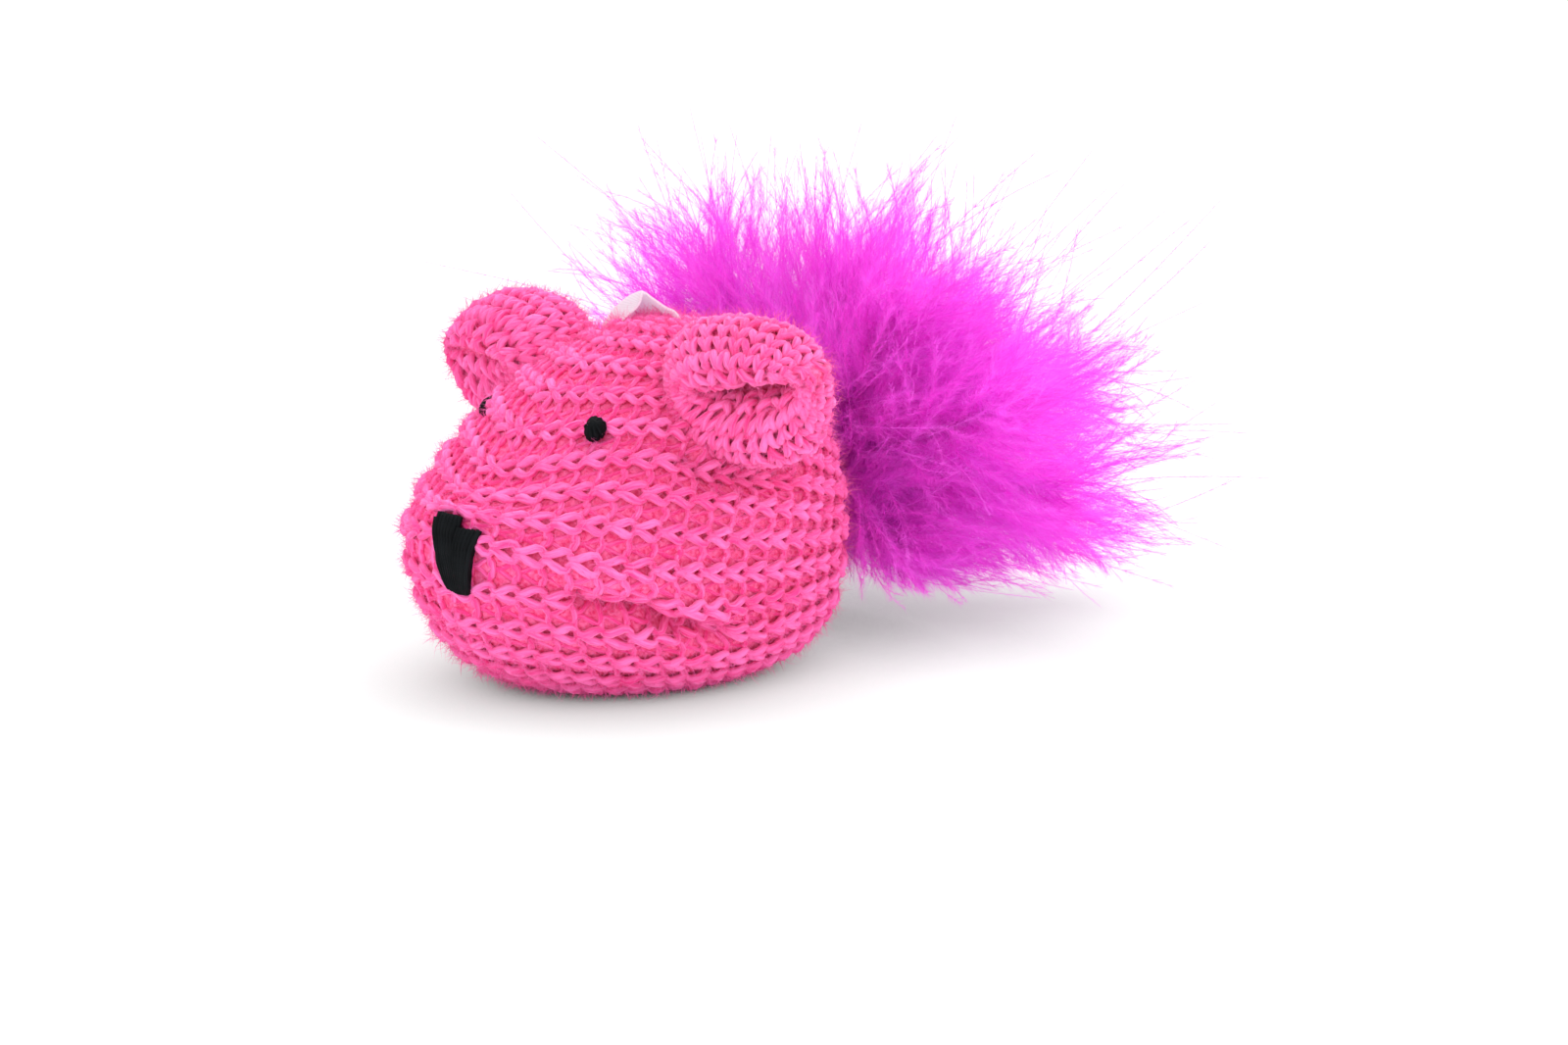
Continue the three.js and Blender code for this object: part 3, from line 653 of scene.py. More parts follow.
def add_thread(parts, centres, outs, radius, index, count, sides=6, turns=0.0, flat=0.0, closed=False,
               tint=0.5):
    """Adds one strand, on its own row of the bake map."""
    points, faces, lays = sweep(centres, outs, radius, sides, closed, turns, flat)
    length = max(lay[..., 0].max() for lay in lays)
    tints = np.repeat(np.broadcast_to(np.asarray(tint, float), len(centres)), sides)
    parts.add(points, faces, bake_cell(lays, index, count, length), lays, tints)


# Knitting
def course_line(cloth, along, pitch, stitches, stand, depth, rib, rng):
    """Centre line of one course of loops, with its outward directions, plumpness and tints; each tint is a
    random tone plus painted shade, lighter on raised loops and darker on sunken ones.
    """
    steps = np.arange(stitches * STITCH_STEPS) / STITCH_STEPS
    stitch = np.floor(steps).astype(int)
    jitter = rng.normal(0, 1, (4, stitches))
    jitter[:2] *= 1 + UNRULY_EXTRA * math.exp(-along / UNRULY_SHARE) if rib else EAR_UNRULINESS
    lean = steps + LOOP_LEAN * np.sin(4 * math.pi * steps)
    lean = lean + LEAN_JITTER * jitter[0][stitch] * np.sin(2 * math.pi * steps)
    if rib:
        pair = lean / 2
        wale_swell = lerp(FRONT_WALE_SWELL, BACK_WALE_SWELL, along)
        lean = 2 * pair - wale_swell * np.cos(2 * math.pi * pair) / math.pi
    around = lean / stitches
    reach = (LOOP_REACH if rib else EAR_LOOP_REACH) * (1 + REACH_JITTER * jitter[1][stitch])
    way = along + pitch * (-reach * np.cos(2 * math.pi * steps)) / cloth.length
    rise = 1 - np.cos(4 * math.pi * steps)
    if rib:
        purl = stitch % 2 == 1
        height = np.where(purl, -rise, rise)
    else:
        height = 2 * rise - 2
    swell = depth * (1 + DEPTH_JITTER * jitter[2][stitch])
    if rib:
        swell *= 1 - FLATTENING * math.exp(-along / FLAT_SHARE)
    points, normals = cloth.place(around, np.minimum(way, 1), stand + swell * height)
    plump = 1 + LEG_PLUMPNESS * np.clip(height / 2, 0, 1)
    # Painted shade: the tint grows with a loop's height, so raised loops are painted lighter and sunken ones
    # darker
    return points, normals, plump, 0.5 + TINT_JITTER * jitter[3][stitch] + RELIEF_PAINTED_SHADE * height


def knit(parts, cloth, yarn, rib, rng, keep=None):
    """Covers a cloth with courses of yarn. keep says which points of a course are made."""
    courses = max(3, round(cloth.length / yarn.course_pitch))
    pitch = cloth.length / courses
    width = yarn.rib_pitch / 2 if rib else yarn.ear_stitch
    full = max(cloth.girth(share) for share in np.linspace(0.2, 0.8, 13))
    widest = 4 * max(2, round(full / width / 4))
    top = yarn.radius + 2 * yarn.rib_depth
    for course in range(courses):
        along = (course + 0.5) / courses
        if along < cloth.first:
            continue
        stitches = widest
        while stitches > 8 and cloth.girth(along) / stitches < LEAST_STITCH:
            stitches //= 2
        stitches += stitches % 2
        points, normals, plump, tint = course_line(
            cloth, along, pitch, stitches, -top + FABRIC_LIFT, yarn.rib_depth, rib, rng
        )
        runs = [np.arange(len(points))] if keep is None else kept_runs(keep(points))
        for run in runs:
            closed = len(run) == len(points)
            radius = yarn.radius * plump[run]
            add_thread(parts, points[run], normals[run], radius, course, courses, YARN_SIDES,
                       1 / yarn.ply_twist, PLY_FLATNESS, closed, tint[run])


def kept_runs(mask):
    """Index runs of a ring's points that are kept, each long enough to be a strand."""
    if mask.all():
        return [np.arange(len(mask))]
    start = int(np.argmin(mask))
    order = np.roll(np.arange(len(mask)), -start)
    cuts = np.flatnonzero(np.diff(mask[order].astype(int))) + 1
    return [run for run in np.split(order, cuts) if mask[run[0]] and len(run) > 3]


def fuzz(points, normals, count, longest, rng):
    """Loose ends of fibre that stand off the yarn, each a thin bent blade, tinted lighter than the yarn as
    painted light caught in the fibre halo.
    """
    picks = rng.integers(0, len(points), count)
    base, normal = points[picks], normals[picks]
    sway = unit(rng.normal(0, 1, (count, 3)))
    lean = unit(normal + FUZZ_SWAY * sway)
    curl = unit(np.cross(lean, sway)) * rng.uniform(-FUZZ_CURL, FUZZ_CURL, (count, 1))
    length = (longest * rng.uniform(FUZZ_LEAST, 1, count) ** 2)[:, None]
    broad = FUZZ_HALF_WIDTH * unit(np.cross(lean, rng.normal(0, 1, (count, 3))))
    bent = base + length * (0.5 * lean + 0.25 * curl)
    tip = base + length * (lean + curl)
    blade = np.stack([base - broad, base + broad, bent + 0.8 * broad, bent - 0.8 * broad, tip], 1)
    blade[..., 2] = np.maximum(blade[..., 2], FLOOR_CLEARANCE)
    first = 5 * np.arange(count)[:, None]
    columns = math.ceil(math.sqrt(count))
    cell = np.stack([np.arange(count) % columns, np.arange(count) // columns], -1)[:, None] / columns
    corners = np.array([(0.1, 0.1), (0.9, 0.1), (0.9, 0.5), (0.1, 0.5), (0.5, 0.9)]) / columns
    maps = [cell + corners[:4], cell + corners[[3, 2, 4]]]
    parts = MeshParts()
    faces = [first + np.arange(4), first + np.array([3, 2, 4])]
    parts.add(blade.reshape(-1, 3), faces, maps, tint=FUZZ_PAINTED_LIGHT)
    return parts


# Materials
def new_material(name, base, roughness):
    material = bpy.data.materials.new(name)
    material.use_nodes = True
    tree = material.node_tree
    shader = tree.nodes["Principled BSDF"]
    set_sockets(shader, {"Base Color": (*base, 1), "Roughness": roughness})
    material.diffuse_color = (*base, 1)
    return material, tree, shader


def set_sockets(made, values):
    for name, value in values.items():
        made.inputs[name].default_value = value


def link(tree, source, output, target, name):
    tree.links.new(source.outputs[output], target.inputs[name])


def node(tree, kind, **values):
    made = tree.nodes.new(kind)
    for name, value in values.items():
        if name in made.inputs:
            made.inputs[name].default_value = value
        else:
            setattr(made, name, value)
    return made


def two_tone(tree, factor, output, dark, light, low=0.2, high=0.8):
    """A ramp from a dark to a light shade of one colour."""
    ramp = node(tree, "ShaderNodeValToRGB")
    ramp.color_ramp.elements[0].color = (*dark, 1)
    ramp.color_ramp.elements[1].color = (*light, 1)
    ramp.color_ramp.elements[0].position = low
    ramp.color_ramp.elements[1].position = high
    link(tree, factor, output, ramp, "Fac")
    return ramp


def shades(colour, dark, light):
    """A dark and a light shade of a colour, each from its share of it."""
    colour = np.array(colour)
    return np.clip(colour * dark, 0, 1), np.clip(colour * light, 0, 1)


def colour_and_bump(tree, shader, ramp, source, strength, depth):
    """Gives a surface the colours of a ramp and a fine relief from the pattern that drives it."""
    link(tree, ramp, "Color", shader, "Base Color")
    relief = node(tree, "ShaderNodeBump", Strength=strength, Distance=depth)
    link(tree, source, "Fac", relief, "Height")
    link(tree, relief, "Normal", shader, "Normal")


def fibre_material(name, colour, roughness, streaks, dark=(0.86, 0.4, 0.62), light=(1, 1.6, 1.25), bump=0.7,
                   sheen=0.2, gloss=0.2):
    """Spun yarn or thread: streaks of fibre along its lay, a tint for each stitch (on the knit it also
    carries painted shade from the loops' relief), and a soft sheen.
    """
    material, tree, shader = new_material(name, colour, roughness)
    sheen_tint = (*np.clip(np.array(colour) * 0.4 + 0.6, 0, 1), 1)
    set_sockets(shader, {"Sheen Weight": sheen, "Specular IOR Level": gloss, "Sheen Roughness": 0.5,
                         "Sheen Tint": sheen_tint})
    lay = node(tree, "ShaderNodeUVMap", uv_map=YARN_MAP)
    stretch = node(tree, "ShaderNodeMapping", Scale=(streaks, 7, 1))
    link(tree, lay, "UV", stretch, "Vector")
    streak = node(tree, "ShaderNodeTexNoise", Scale=1.0, Detail=3.0, Roughness=0.6)
    link(tree, stretch, "Vector", streak, "Vector")
    tint = node(tree, "ShaderNodeAttribute", attribute_name=TINT)
    shade = node(tree, "ShaderNodeMath", operation="MULTIPLY_ADD")
    half = node(tree, "ShaderNodeMath", operation="MULTIPLY_ADD")
    set_sockets(shade, {1: 0.35})
    set_sockets(half, {1: 1.1, 2: -0.23})
    link(tree, tint, "Fac", shade, 0)
    link(tree, streak, "Fac", half, 0)
    link(tree, half, 0, shade, 2)
    ramp = two_tone(tree, shade, 0, *shades(colour, dark, light), 0.34, 0.66)
    colour_and_bump(tree, shader, ramp, streak, bump, 0.15 * MM)
    return material


def mottled_material(name, colour, scale, dark, light, low, high, bump, depth):
    """Rough fibre or leaf, mottled all through: the inner side of the knit, and the filling."""
    material, tree, shader = new_material(name, colour, 0.95)
    place = node(tree, "ShaderNodeTexCoord")
    mottle = node(tree, "ShaderNodeTexNoise", Scale=scale, Detail=4.0)
    link(tree, place, "Object", mottle, "Vector")
    ramp = two_tone(tree, mottle, "Fac", *shades(colour, dark, light), low, high)
    colour_and_bump(tree, shader, ramp, mottle, bump, depth)
    return material


def filling_material(name, colour, scale):
    return mottled_material(name, colour, scale, dark=0.6, light=1.2, low=0.2, high=0.8, bump=0.5,
                            depth=0.4 * MM)


def let_through(tree, shader, ramp, share):
    """Lets a share of the light through a thin piece, coloured by its ramp."""
    glow = node(tree, "ShaderNodeBsdfTranslucent")
    link(tree, ramp, "Color", glow, "Color")
    mix = node(tree, "ShaderNodeMixShader", Fac=share)
    link(tree, shader, "BSDF", mix, 1)
    link(tree, glow, "BSDF", mix, 2)
    link(tree, mix, "Shader", tree.nodes["Material Output"], "Surface")


def down_material(colour):
    """Dyed marabou: thin strands that glow where light comes through them."""
    material, tree, shader = new_material("magenta_down", colour, 0.7)
    set_sockets(shader, {"Sheen Weight": 0.15})
    tint = node(tree, "ShaderNodeAttribute", attribute_name=TINT)
    place = node(tree, "ShaderNodeTexCoord")
    patch = node(tree, "ShaderNodeTexNoise", Scale=120.0, Detail=2.0)
    link(tree, place, "Object", patch, "Vector")
    blend = node(tree, "ShaderNodeMath", operation="MULTIPLY")
    link(tree, tint, "Fac", blend, 0)
    link(tree, patch, "Fac", blend, 1)
    shade = node(tree, "ShaderNodeMath", operation="MULTIPLY")
    set_sockets(shade, {1: 2.0})
    link(tree, blend, 0, shade, 0)
    dark, _ = shades(colour, (0.95, 0.8, 0.95), 1)
    light = np.clip(np.array(colour) * 1.1 + (0, 0.08, 0.05), 0, 1)
    ramp = two_tone(tree, shade, 0, dark, light)
    link(tree, ramp, "Color", shader, "Base Color")
    let_through(tree, shader, ramp, DOWN_GLOW)
    return material


def ribbon_material(colour):
    """Satin ribbon: close weft lines under a soft gloss, thin enough to let light through."""
    material, tree, shader = new_material("white_satin", colour, 0.42)
    set_sockets(shader, {"Sheen Weight": 0.2})
    place = node(tree, "ShaderNodeUVMap", uv_map=YARN_MAP)
    weft = node(tree, "ShaderNodeTexWave", Scale=900.0, Distortion=0.6, Detail=2.0)
    link(tree, place, "UV", weft, "Vector")
    ramp = two_tone(tree, weft, "Fac", *shades(colour, 0.93, 1))
    colour_and_bump(tree, shader, ramp, weft, 0.15, 0.05 * MM)
    let_through(tree, shader, ramp, RIBBON_GLOW)
    return material


# Settings
def length_setting(name, description, default):
    return FloatProperty(name=name, description=description, default=default, unit="LENGTH")


def colour_setting(name, description, default):
    return FloatVectorProperty(name=name, description=description, default=default, subtype="COLOR")


def angle_setting(name, description, degrees):
    return FloatProperty(name=name, description=description, default=math.radians(degrees), subtype="ANGLE")


def power_setting(name, description, default):
    return FloatProperty(name=name, description=description, default=default, unit="POWER")


def count_setting(name, description, default):
    return IntProperty(name=name, description=description, default=default)


class YarnSettings(PropertyGroup):
    """The knitted skin of the head and ears."""

    radius: length_setting("Yarn radius", "Half the thickness of the yarn", 0.44 * MM)
    course_pitch: length_setting("Course pitch", "From one stitch to the next along a rib", 2.65 * MM)
    rib_pitch: length_setting("Rib pitch", "From one raised rib to the next", 5.0 * MM)
    ear_stitch: length_setting("Ear stitch", "Width of a stitch in the ears", 2.6 * MM)
    rib_depth: length_setting("Rib depth", "How far a loop stands out of the fabric", 0.34 * MM)
    ply_twist: length_setting("Ply twist", "Length of one full twist of the yarn", 5 * MM)
    fuzz_count: count_setting("Fuzz", "Loose fibres on the head", 60000)
    fuzz_length: length_setting("Fuzz length", "Longest loose fibre", 2.6 * MM)
    colour: colour_setting("Yarn colour", "Colour of the knit", (1.0, 0.118, 0.42))
    lining: colour_setting("Lining colour", "Colour seen through the gaps", (1.0, 0.13, 0.37))


class TrimSettings(PropertyGroup):
    """The sewn face, the label, the binding and the filling."""

    thread_radius: length_setting("Thread radius", "Half the thickness of the nose thread", 0.42 * MM)
    nose_threads: count_setting("Nose threads", "Satin stitches side by side", 13)
    thread: colour_setting("Face thread", "Colour of the nose and eyes", (0.005, 0.006, 0.007))
    binding: colour_setting("Binding thread", "Colour of hidden sewing thread", (0.69, 0.04, 0.19))
    ribbon: colour_setting("Ribbon", "Colour of the bare label", (0.95, 0.9, 0.96))
    ribbon_width: length_setting("Ribbon width", "Width of the label ribbon", 10.1 * MM)
    ribbon_thickness: length_setting("Ribbon thickness", "Thickness of the label ribbon", 0.25 * MM)
    fibre: colour_setting("Filling", "Colour of the fibre filling", (0.9, 0.88, 0.82))
    leaf: colour_setting("Dried leaf", "Colour of the catnip", (0.2, 0.23, 0.08))


class DownSettings(PropertyGroup):
    """The marabou tail."""

    colour: colour_setting("Dye", "Colour of the feathers", (1.0, 0.125, 0.9))
    barbs: count_setting("Barbs", "Strands on a plume 60 mm long", 250)
    barbules: count_setting("Barbules", "Hairs on each strand", 120)
    barb_length: length_setting("Barb length", "Length of a strand at the foot of a plume", 34 * MM)
    barbule_length: length_setting("Barbule length", "Length of the hairs on a strand", 3.4 * MM)
    barb_radius: length_setting("Barb radius", "Half the thickness of a strand", 0.07 * MM)


class StageSettings(PropertyGroup):
    """Floor, light and camera."""

    azimuth: angle_setting("Azimuth", "Camera's turn round the toy", 45)
    elevation: angle_setting("Elevation", "Camera's height angle", 13)
    distance: length_setting("Distance", "Camera to the head", 0.65)
    ambient: FloatProperty(name="Ambient", description="Strength of the light from all round", default=0.82)
    key: power_setting("Key light", "Power of the soft light overhead", 5.2)
    fill: power_setting("Fill light", "Power of the soft light in front", 2.3)
    side: power_setting("Side light", "Power of the soft light on the tail", 2.2)


class ToySettings(PropertyGroup):
    """Everything a maker may change."""

    yarn: PointerProperty(type=YarnSettings)
    trim: PointerProperty(type=TrimSettings)
    down: PointerProperty(type=DownSettings)
    stage: PointerProperty(type=StageSettings)


def finish_piece(piece, body, slot, *nodes):
    """Hands a piece to its body and hides the solids it stands for; its slot is not used."""
    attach(piece, body)
    if nodes:
        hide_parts(*nodes)
    return piece


def deselect():
    bpy.ops.object.select_all(action="DESELECT")


def joint_place(name):
    return next(j for j in frame["joints"] if j["name"] == name)["pos_m"]


# Operators
class CATNIP_OT_knit_head(Operator):
    """Knit the head in rib round its stuffed form"""

    bl_idname = "catnip.knit_head"
    bl_label = "Knit Head"

    def execute(self, context):
        yarn = context.scene.catnip_toy.yarn
        rng = np.random.default_rng(RNG_SEED)
        cloth = HeadCloth()
        parts = MeshParts()
        knit(parts, cloth, yarn, True, rng)
        points = np.concatenate(parts.points)
        yarn_pink = fibre_material("pink_yarn", yarn.colour, roughness=0.85, streaks=260)
        lining_pink = mottled_material(
            "knit_lining", yarn.lining, scale=1500.0, dark=(0.8, 0.3, 0.5), light=(1, 1.4, 1.2),
            low=0.35, high=0.65, bump=0.9, depth=0.3 * MM
        )
        piece = parts.build("knit_head", yarn_pink)
        depth = yarn.radius + 2 * yarn.rib_depth + LINING_GAP
        lining = line_fabric("knit_head_lining", line_head, depth, LINING_GRID, lining_pink)
        finish_piece(lining, "head", "pink_knit")
        finish_piece(piece, "head", "pink_knit", "knit_body")
        spots, outs = loose_spots(points)
        low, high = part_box("nose")
        off_nose = np.linalg.norm(spots - np.array((low + high) / 2), axis=1) > NOSE_CLEARING
        hairs = fuzz(spots[off_nose], outs[off_nose], yarn.fuzz_count, yarn.fuzz_length, rng)
        finish_piece(hairs.build("knit_head_fuzz", yarn_pink), "head", "pink_knit")
        return {"FINISHED"}


def loose_spots(points):
    """Spots on the yarn with their outward directions, for loose fibres."""
    tube = points.reshape(-1, YARN_SIDES, 3)
    centre = tube.mean(1)
    outermost = tube[:, 0]
    return outermost, unit(outermost - centre)


def line_fabric(name, place, depth, grid, material):
    """A ball shaped to lie that deep under a fabric that place lays out."""
    deselect()
    bpy.ops.mesh.primitive_uv_sphere_add(segments=grid[0], ring_count=grid[1], radius=1)
    lining = bpy.context.object
    ball = points_of(lining.data)
    along = np.arccos(np.clip(ball[:, 2], -1, 1)) / math.pi
    around = np.arctan2(ball[:, 1], ball[:, 0]) / (2 * math.pi)
    points, _ = place(around, along, np.full(len(along), -depth))
    move_points(lining.data, points)
    lining.name = name
    lining.data.materials.append(material)
    bpy.ops.object.shade_smooth()
    return lining


class CATNIP_OT_knit_ears(Operator):
    """Knit the two creased ears, each with its fuzz and lining"""

    bl_idname = "catnip.knit_ears"
    bl_label = "Knit Ears"

    def execute(self, context):
        yarn = context.scene.catnip_toy.yarn
        pink = bpy.data.materials["pink_yarn"]
        lining_pink = bpy.data.materials["knit_lining"]
        for word, side in SIDES.items():
            rng = np.random.default_rng(RNG_SEED + 2 + side)
            cloth = EarCloth(side)
            parts = MeshParts()
            knit(parts, cloth, yarn, False, rng, lambda points: ~inside_head(points, -EAR_SINK))
            points = np.concatenate(parts.points)
            ear = parts.build("ear_" + word + "_knit", pink)
            hairs = fuzz(*loose_spots(points), yarn.fuzz_count // EAR_FUZZ_PART, yarn.fuzz_length, rng)
            down = hairs.build("ear_" + word + "_fuzz", pink)
            depth = yarn.radius + EAR_LINING_RIBS * yarn.rib_depth
            lining = line_fabric("ear_" + word + "_lining", cloth.place, depth, EAR_LINING_GRID, lining_pink)
            for piece in (ear, down, lining):
                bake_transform(piece)
            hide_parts("ear_" + word)
        return {"FINISHED"}


class CATNIP_OT_sew_face(Operator):
    """Sew the satin-stitched nose and the knotted eyes"""

    bl_idname = "catnip.sew_face"
    bl_label = "Sew Face"

    def execute(self, context):
        trim = context.scene.catnip_toy.trim
        black = fibre_material("black_thread", trim.thread, roughness=0.6, streaks=500, dark=0.6, light=1.6,
                               bump=0.4, sheen=0.0, gloss=0.05)
        self.sew_nose(trim, black)
        for word in EYES:
            self.tie_eye(black, word)
        return {"FINISHED"}

    def sew_nose(self, trim, black):
        rng = np.random.default_rng(RNG_SEED + 5)
        parts = MeshParts()
        middle = head_point(np.array([0.0]), np.array([0.0]))[0][2] + NOSE_RISE
        shares = np.linspace(0, 1, NOSE_STEPS)
        for layer, stand in enumerate(NOSE_LAYERS):
            count = trim.nose_threads - 1 + layer
            for index in range(count):
                across = lerp(-1, 1, (index + 0.5) / count)
                top, bottom = nose_edge(across)
                side = lerp(top[0], bottom[0], shares) + NOSE_WAVER * rng.normal()
                high = lerp(top[1], bottom[1], shares)
                bow = stand * np.sin(math.pi * np.clip(shares, *NOSE_BOW_ENDS)) ** NOSE_BOW_ROUNDNESS
                line, normals = on_head_front(side + NOSE_ASIDE, high + middle, bow - NOSE_SINK)
                add_thread(parts, line, normals, trim.thread_radius, index + layer * count, 2 * count + 2, 6,
                           FACE_TWIST, FACE_FLATNESS, tint=0.5 + NOSE_TINT_JITTER * rng.normal())
        finish_piece(parts.build("nose_thread", black), "head", "black_thread", "nose")

    def tie_eye(self, black, word):
        """Turns of thread wound over each other into a knot."""
        low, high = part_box("eye_" + word)
        centre = np.array((low + high) / 2)
        back, rounds = EYES[word]
        facing = head_normal(np.array([back]), np.array([rounds]))[0]
        across = unit(np.cross((0, 0, 1.0), facing))
        rise = np.cross(facing, across)
        parts = MeshParts()
        angles = np.linspace(0, 2 * math.pi, EYE_STEPS + 1)[:-1]
        for turn in range(EYE_TURNS):
            slope = math.pi * turn / EYE_TURNS
            lean = math.cos(slope) * EYE_HALF_WIDTH * across + math.sin(slope) * EYE_HALF_HEIGHT * rise
            ring = np.outer(np.cos(angles), MM * lean) + np.outer(np.sin(angles), EYE_HALF_DEPTH * facing)
            sag = EYE_SAG * math.sin(3 * slope) * np.cross(lean, facing)
            line = centre - EYE_SINK[word] * facing + ring + sag
            add_thread(parts, line, ring, EYE_THREAD, turn, EYE_TURNS, 6, FACE_TWIST, FACE_FLATNESS, True)
        finish_piece(parts.build("eye_" + word + "_knot", black), "head", "black_thread", "eye_" + word)


def nose_edge(across):
    """Top and bottom end of the satin stitch that lies this far across the nose, from -1 to 1."""
    top_high = NOSE_TOP if across < NOSE_STEP_AT else NOSE_STEP_TOP
    corner = max(0.0, -across - NOSE_CORNER_AT) * NOSE_CORNER_FALL
    top = (NOSE_HALF_TOP * across, top_high - corner)
    low = NOSE_BOTTOM + NOSE_BOTTOM_RISE * max(0.0, -across)
    bottom = (NOSE_BOTTOM_ASIDE + NOSE_HALF_BOTTOM * across, low)
    return np.array(top) * MM, np.array(bottom) * MM


def on_head_front(side, high, stand):
    """Points on the front of the head straight behind a place across and up, standing off it."""
    centre = NOSE_AXIS_HEIGHT - BELLY_SHIFT
    rounds = np.arctan2(high - centre, side)
    reach = np.hypot(side, high - centre)
    backs = np.linspace(0.004, math.pi / 2, FRONT_STEPS)
    found = []
    for turn, wanted in zip(rounds, reach):
        line = head_point(backs, np.full(FRONT_STEPS, turn))
        found.append(np.interp(wanted, np.hypot(line[:, 0], line[:, 2] - centre), backs))
    back = np.array(found)
    normal = head_normal(np.maximum(back, 0.01), rounds)
    return head_point(back, rounds) + normal * stand[:, None], normal


class CATNIP_OT_fold_label(Operator):
    """Fold the bare ribbon into its loop on the crown"""

    bl_idname = "catnip.fold_label"
    bl_label = "Fold Label"

    def execute(self, context):
        trim = context.scene.catnip_toy.trim
        root = Vector(joint_place("label_flip"))
        deselect()
        bpy.ops.mesh.primitive_grid_add(x_subdivisions=LABEL_GRID[0], y_subdivisions=LABEL_GRID[1], size=1)
        label = context.object
        label.name = "label_ribbon"
        mesh = label.data
        flat = points_of(mesh)
        loop = label_loop(flat[:, 0] + 0.5, flat[:, 1] + 0.5, trim.ribbon_width)
        measures = np.linspace(0, 1, LABEL_MEASURES)
        middle = label_loop(measures, np.full(LABEL_MEASURES, 0.5), trim.ribbon_width)
        length = float(steps_of(middle).sum())
        move_points(mesh, loop + np.array(root))
        lay = mesh.uv_layers[0]
        lay.name = YARN_MAP
        corners = np.empty(len(mesh.loops), int)
        mesh.loops.foreach_get("vertex_index", corners)
        places = flat[corners, :2] * (length, trim.ribbon_width)
        lay.data.foreach_set("uv", places.astype(np.float32).ravel())
        thick = label.modifiers.new("thickness", "SOLIDIFY")
        thick.thickness = trim.ribbon_thickness
        thick.offset = 0
        bpy.ops.object.modifier_apply(modifier="thickness")
        bpy.ops.object.shade_smooth_by_angle(angle=RIBBON_EDGE)
        mesh.materials.append(ribbon_material(trim.ribbon))
        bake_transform(label)
        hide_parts("care_label")
        return {"FINISHED"}


def label_loop(share, across, width):
    """The ribbon's fold, up one side and down the other, from its far edge at 0 to its near one at 1."""
    way = share * (len(LABEL_NEAR) - 1)
    edges = (LABEL_FAR, LABEL_NEAR)
    far, near = (np.stack([smooth_through(column, way) for column in edge.T], -1) for edge in edges)
    forward, high = lerp(far, near, across[:, None]).T
    side = width * (across - 0.5) - LABEL_BACK
    x = side * math.cos(LABEL_YAW) - forward * math.sin(LABEL_YAW)
    y = side * math.sin(LABEL_YAW) + forward * math.cos(LABEL_YAW)
    return np.stack([x, y, high], -1)


def smooth_through(values, way):
    """A smooth run of values through given ones, at places counted along them."""
    i = np.clip(np.floor(way).astype(int), 0, len(values) - 2)
    t = way - i
    slopes = np.gradient(values)
    a, b = values[i], values[i + 1]
    bend = t * t * (3 - 2 * t)
    ease = t * (1 - t)
    return lerp(a, b, bend) + ease * ((1 - t) * slopes[i] - t * slopes[i + 1])


class CATNIP_OT_bind_tail(Operator):
    """Wind the binding thread round the quills and draw the gather closed"""

    bl_idname = "catnip.bind_tail"
    bl_label = "Bind Tail"

    def execute(self, context):
        trim = context.scene.catnip_toy.trim
        thread = fibre_material("binding_thread", trim.binding, roughness=0.8, streaks=300)
        low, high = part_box("quill_binding")
        middle = np.array([0, 0, (low.z + high.z) / 2])
        share = np.linspace(0, 1, BINDING_TURNS * BINDING_STEPS)
        y = lerp(low.y + BINDING_END_GAPS[0], high.y - BINDING_END_GAPS[1], share)
        bead = (high.z - low.z) / 2
        to_bead = y - (low.y + bead)
        ball = np.sqrt(np.maximum(bead ** 2 - to_bead ** 2, 0))
        crown = high.y - BINDING_CROWN_RADIUS
        neck = np.sqrt(np.maximum(BINDING_CROWN_RADIUS ** 2 - np.maximum(y - crown, 0) ** 2, 0))
        radius = np.maximum(ball, np.where(to_bead > 0, neck, 0)) - BINDING_SINK
        radius = np.maximum(radius, LEAST_WRAP)
        angle = 2 * math.pi * BINDING_TURNS * share
        outs = np.stack([np.cos(angle), np.zeros(len(y)), np.sin(angle)], -1)
        line = middle + radius[:, None] * outs + y[:, None] * (0, 1, 0)
        parts = MeshParts()
        add_thread(parts, line, outs, BINDING_THREAD, 0, 1, 6, SEWING_TWIST, SEWING_FLATNESS)
        finish_piece(parts.build("quill_wrap", thread), "tail", "pink_thread", "quill_binding")
        low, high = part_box("gather_thread")
        centre = np.array((low + high) / 2)
        angles = np.linspace(0, 2 * math.pi, GATHER_STEPS + 1)[:-1]
        outs = np.stack([np.cos(angles), np.zeros(GATHER_STEPS), np.sin(angles)], -1)
        ring = centre + outs * ((high.x - low.x) / 2 - GATHER_SINK)
        parts = MeshParts()
        add_thread(parts, ring, outs, GATHER_THREAD, 0, 1, 8, SEWING_TWIST, GATHER_FLATNESS, True)
        finish_piece(parts.build("gather_cord", thread), "tail_gather", "pink_thread", "gather_thread")
        return {"FINISHED"}


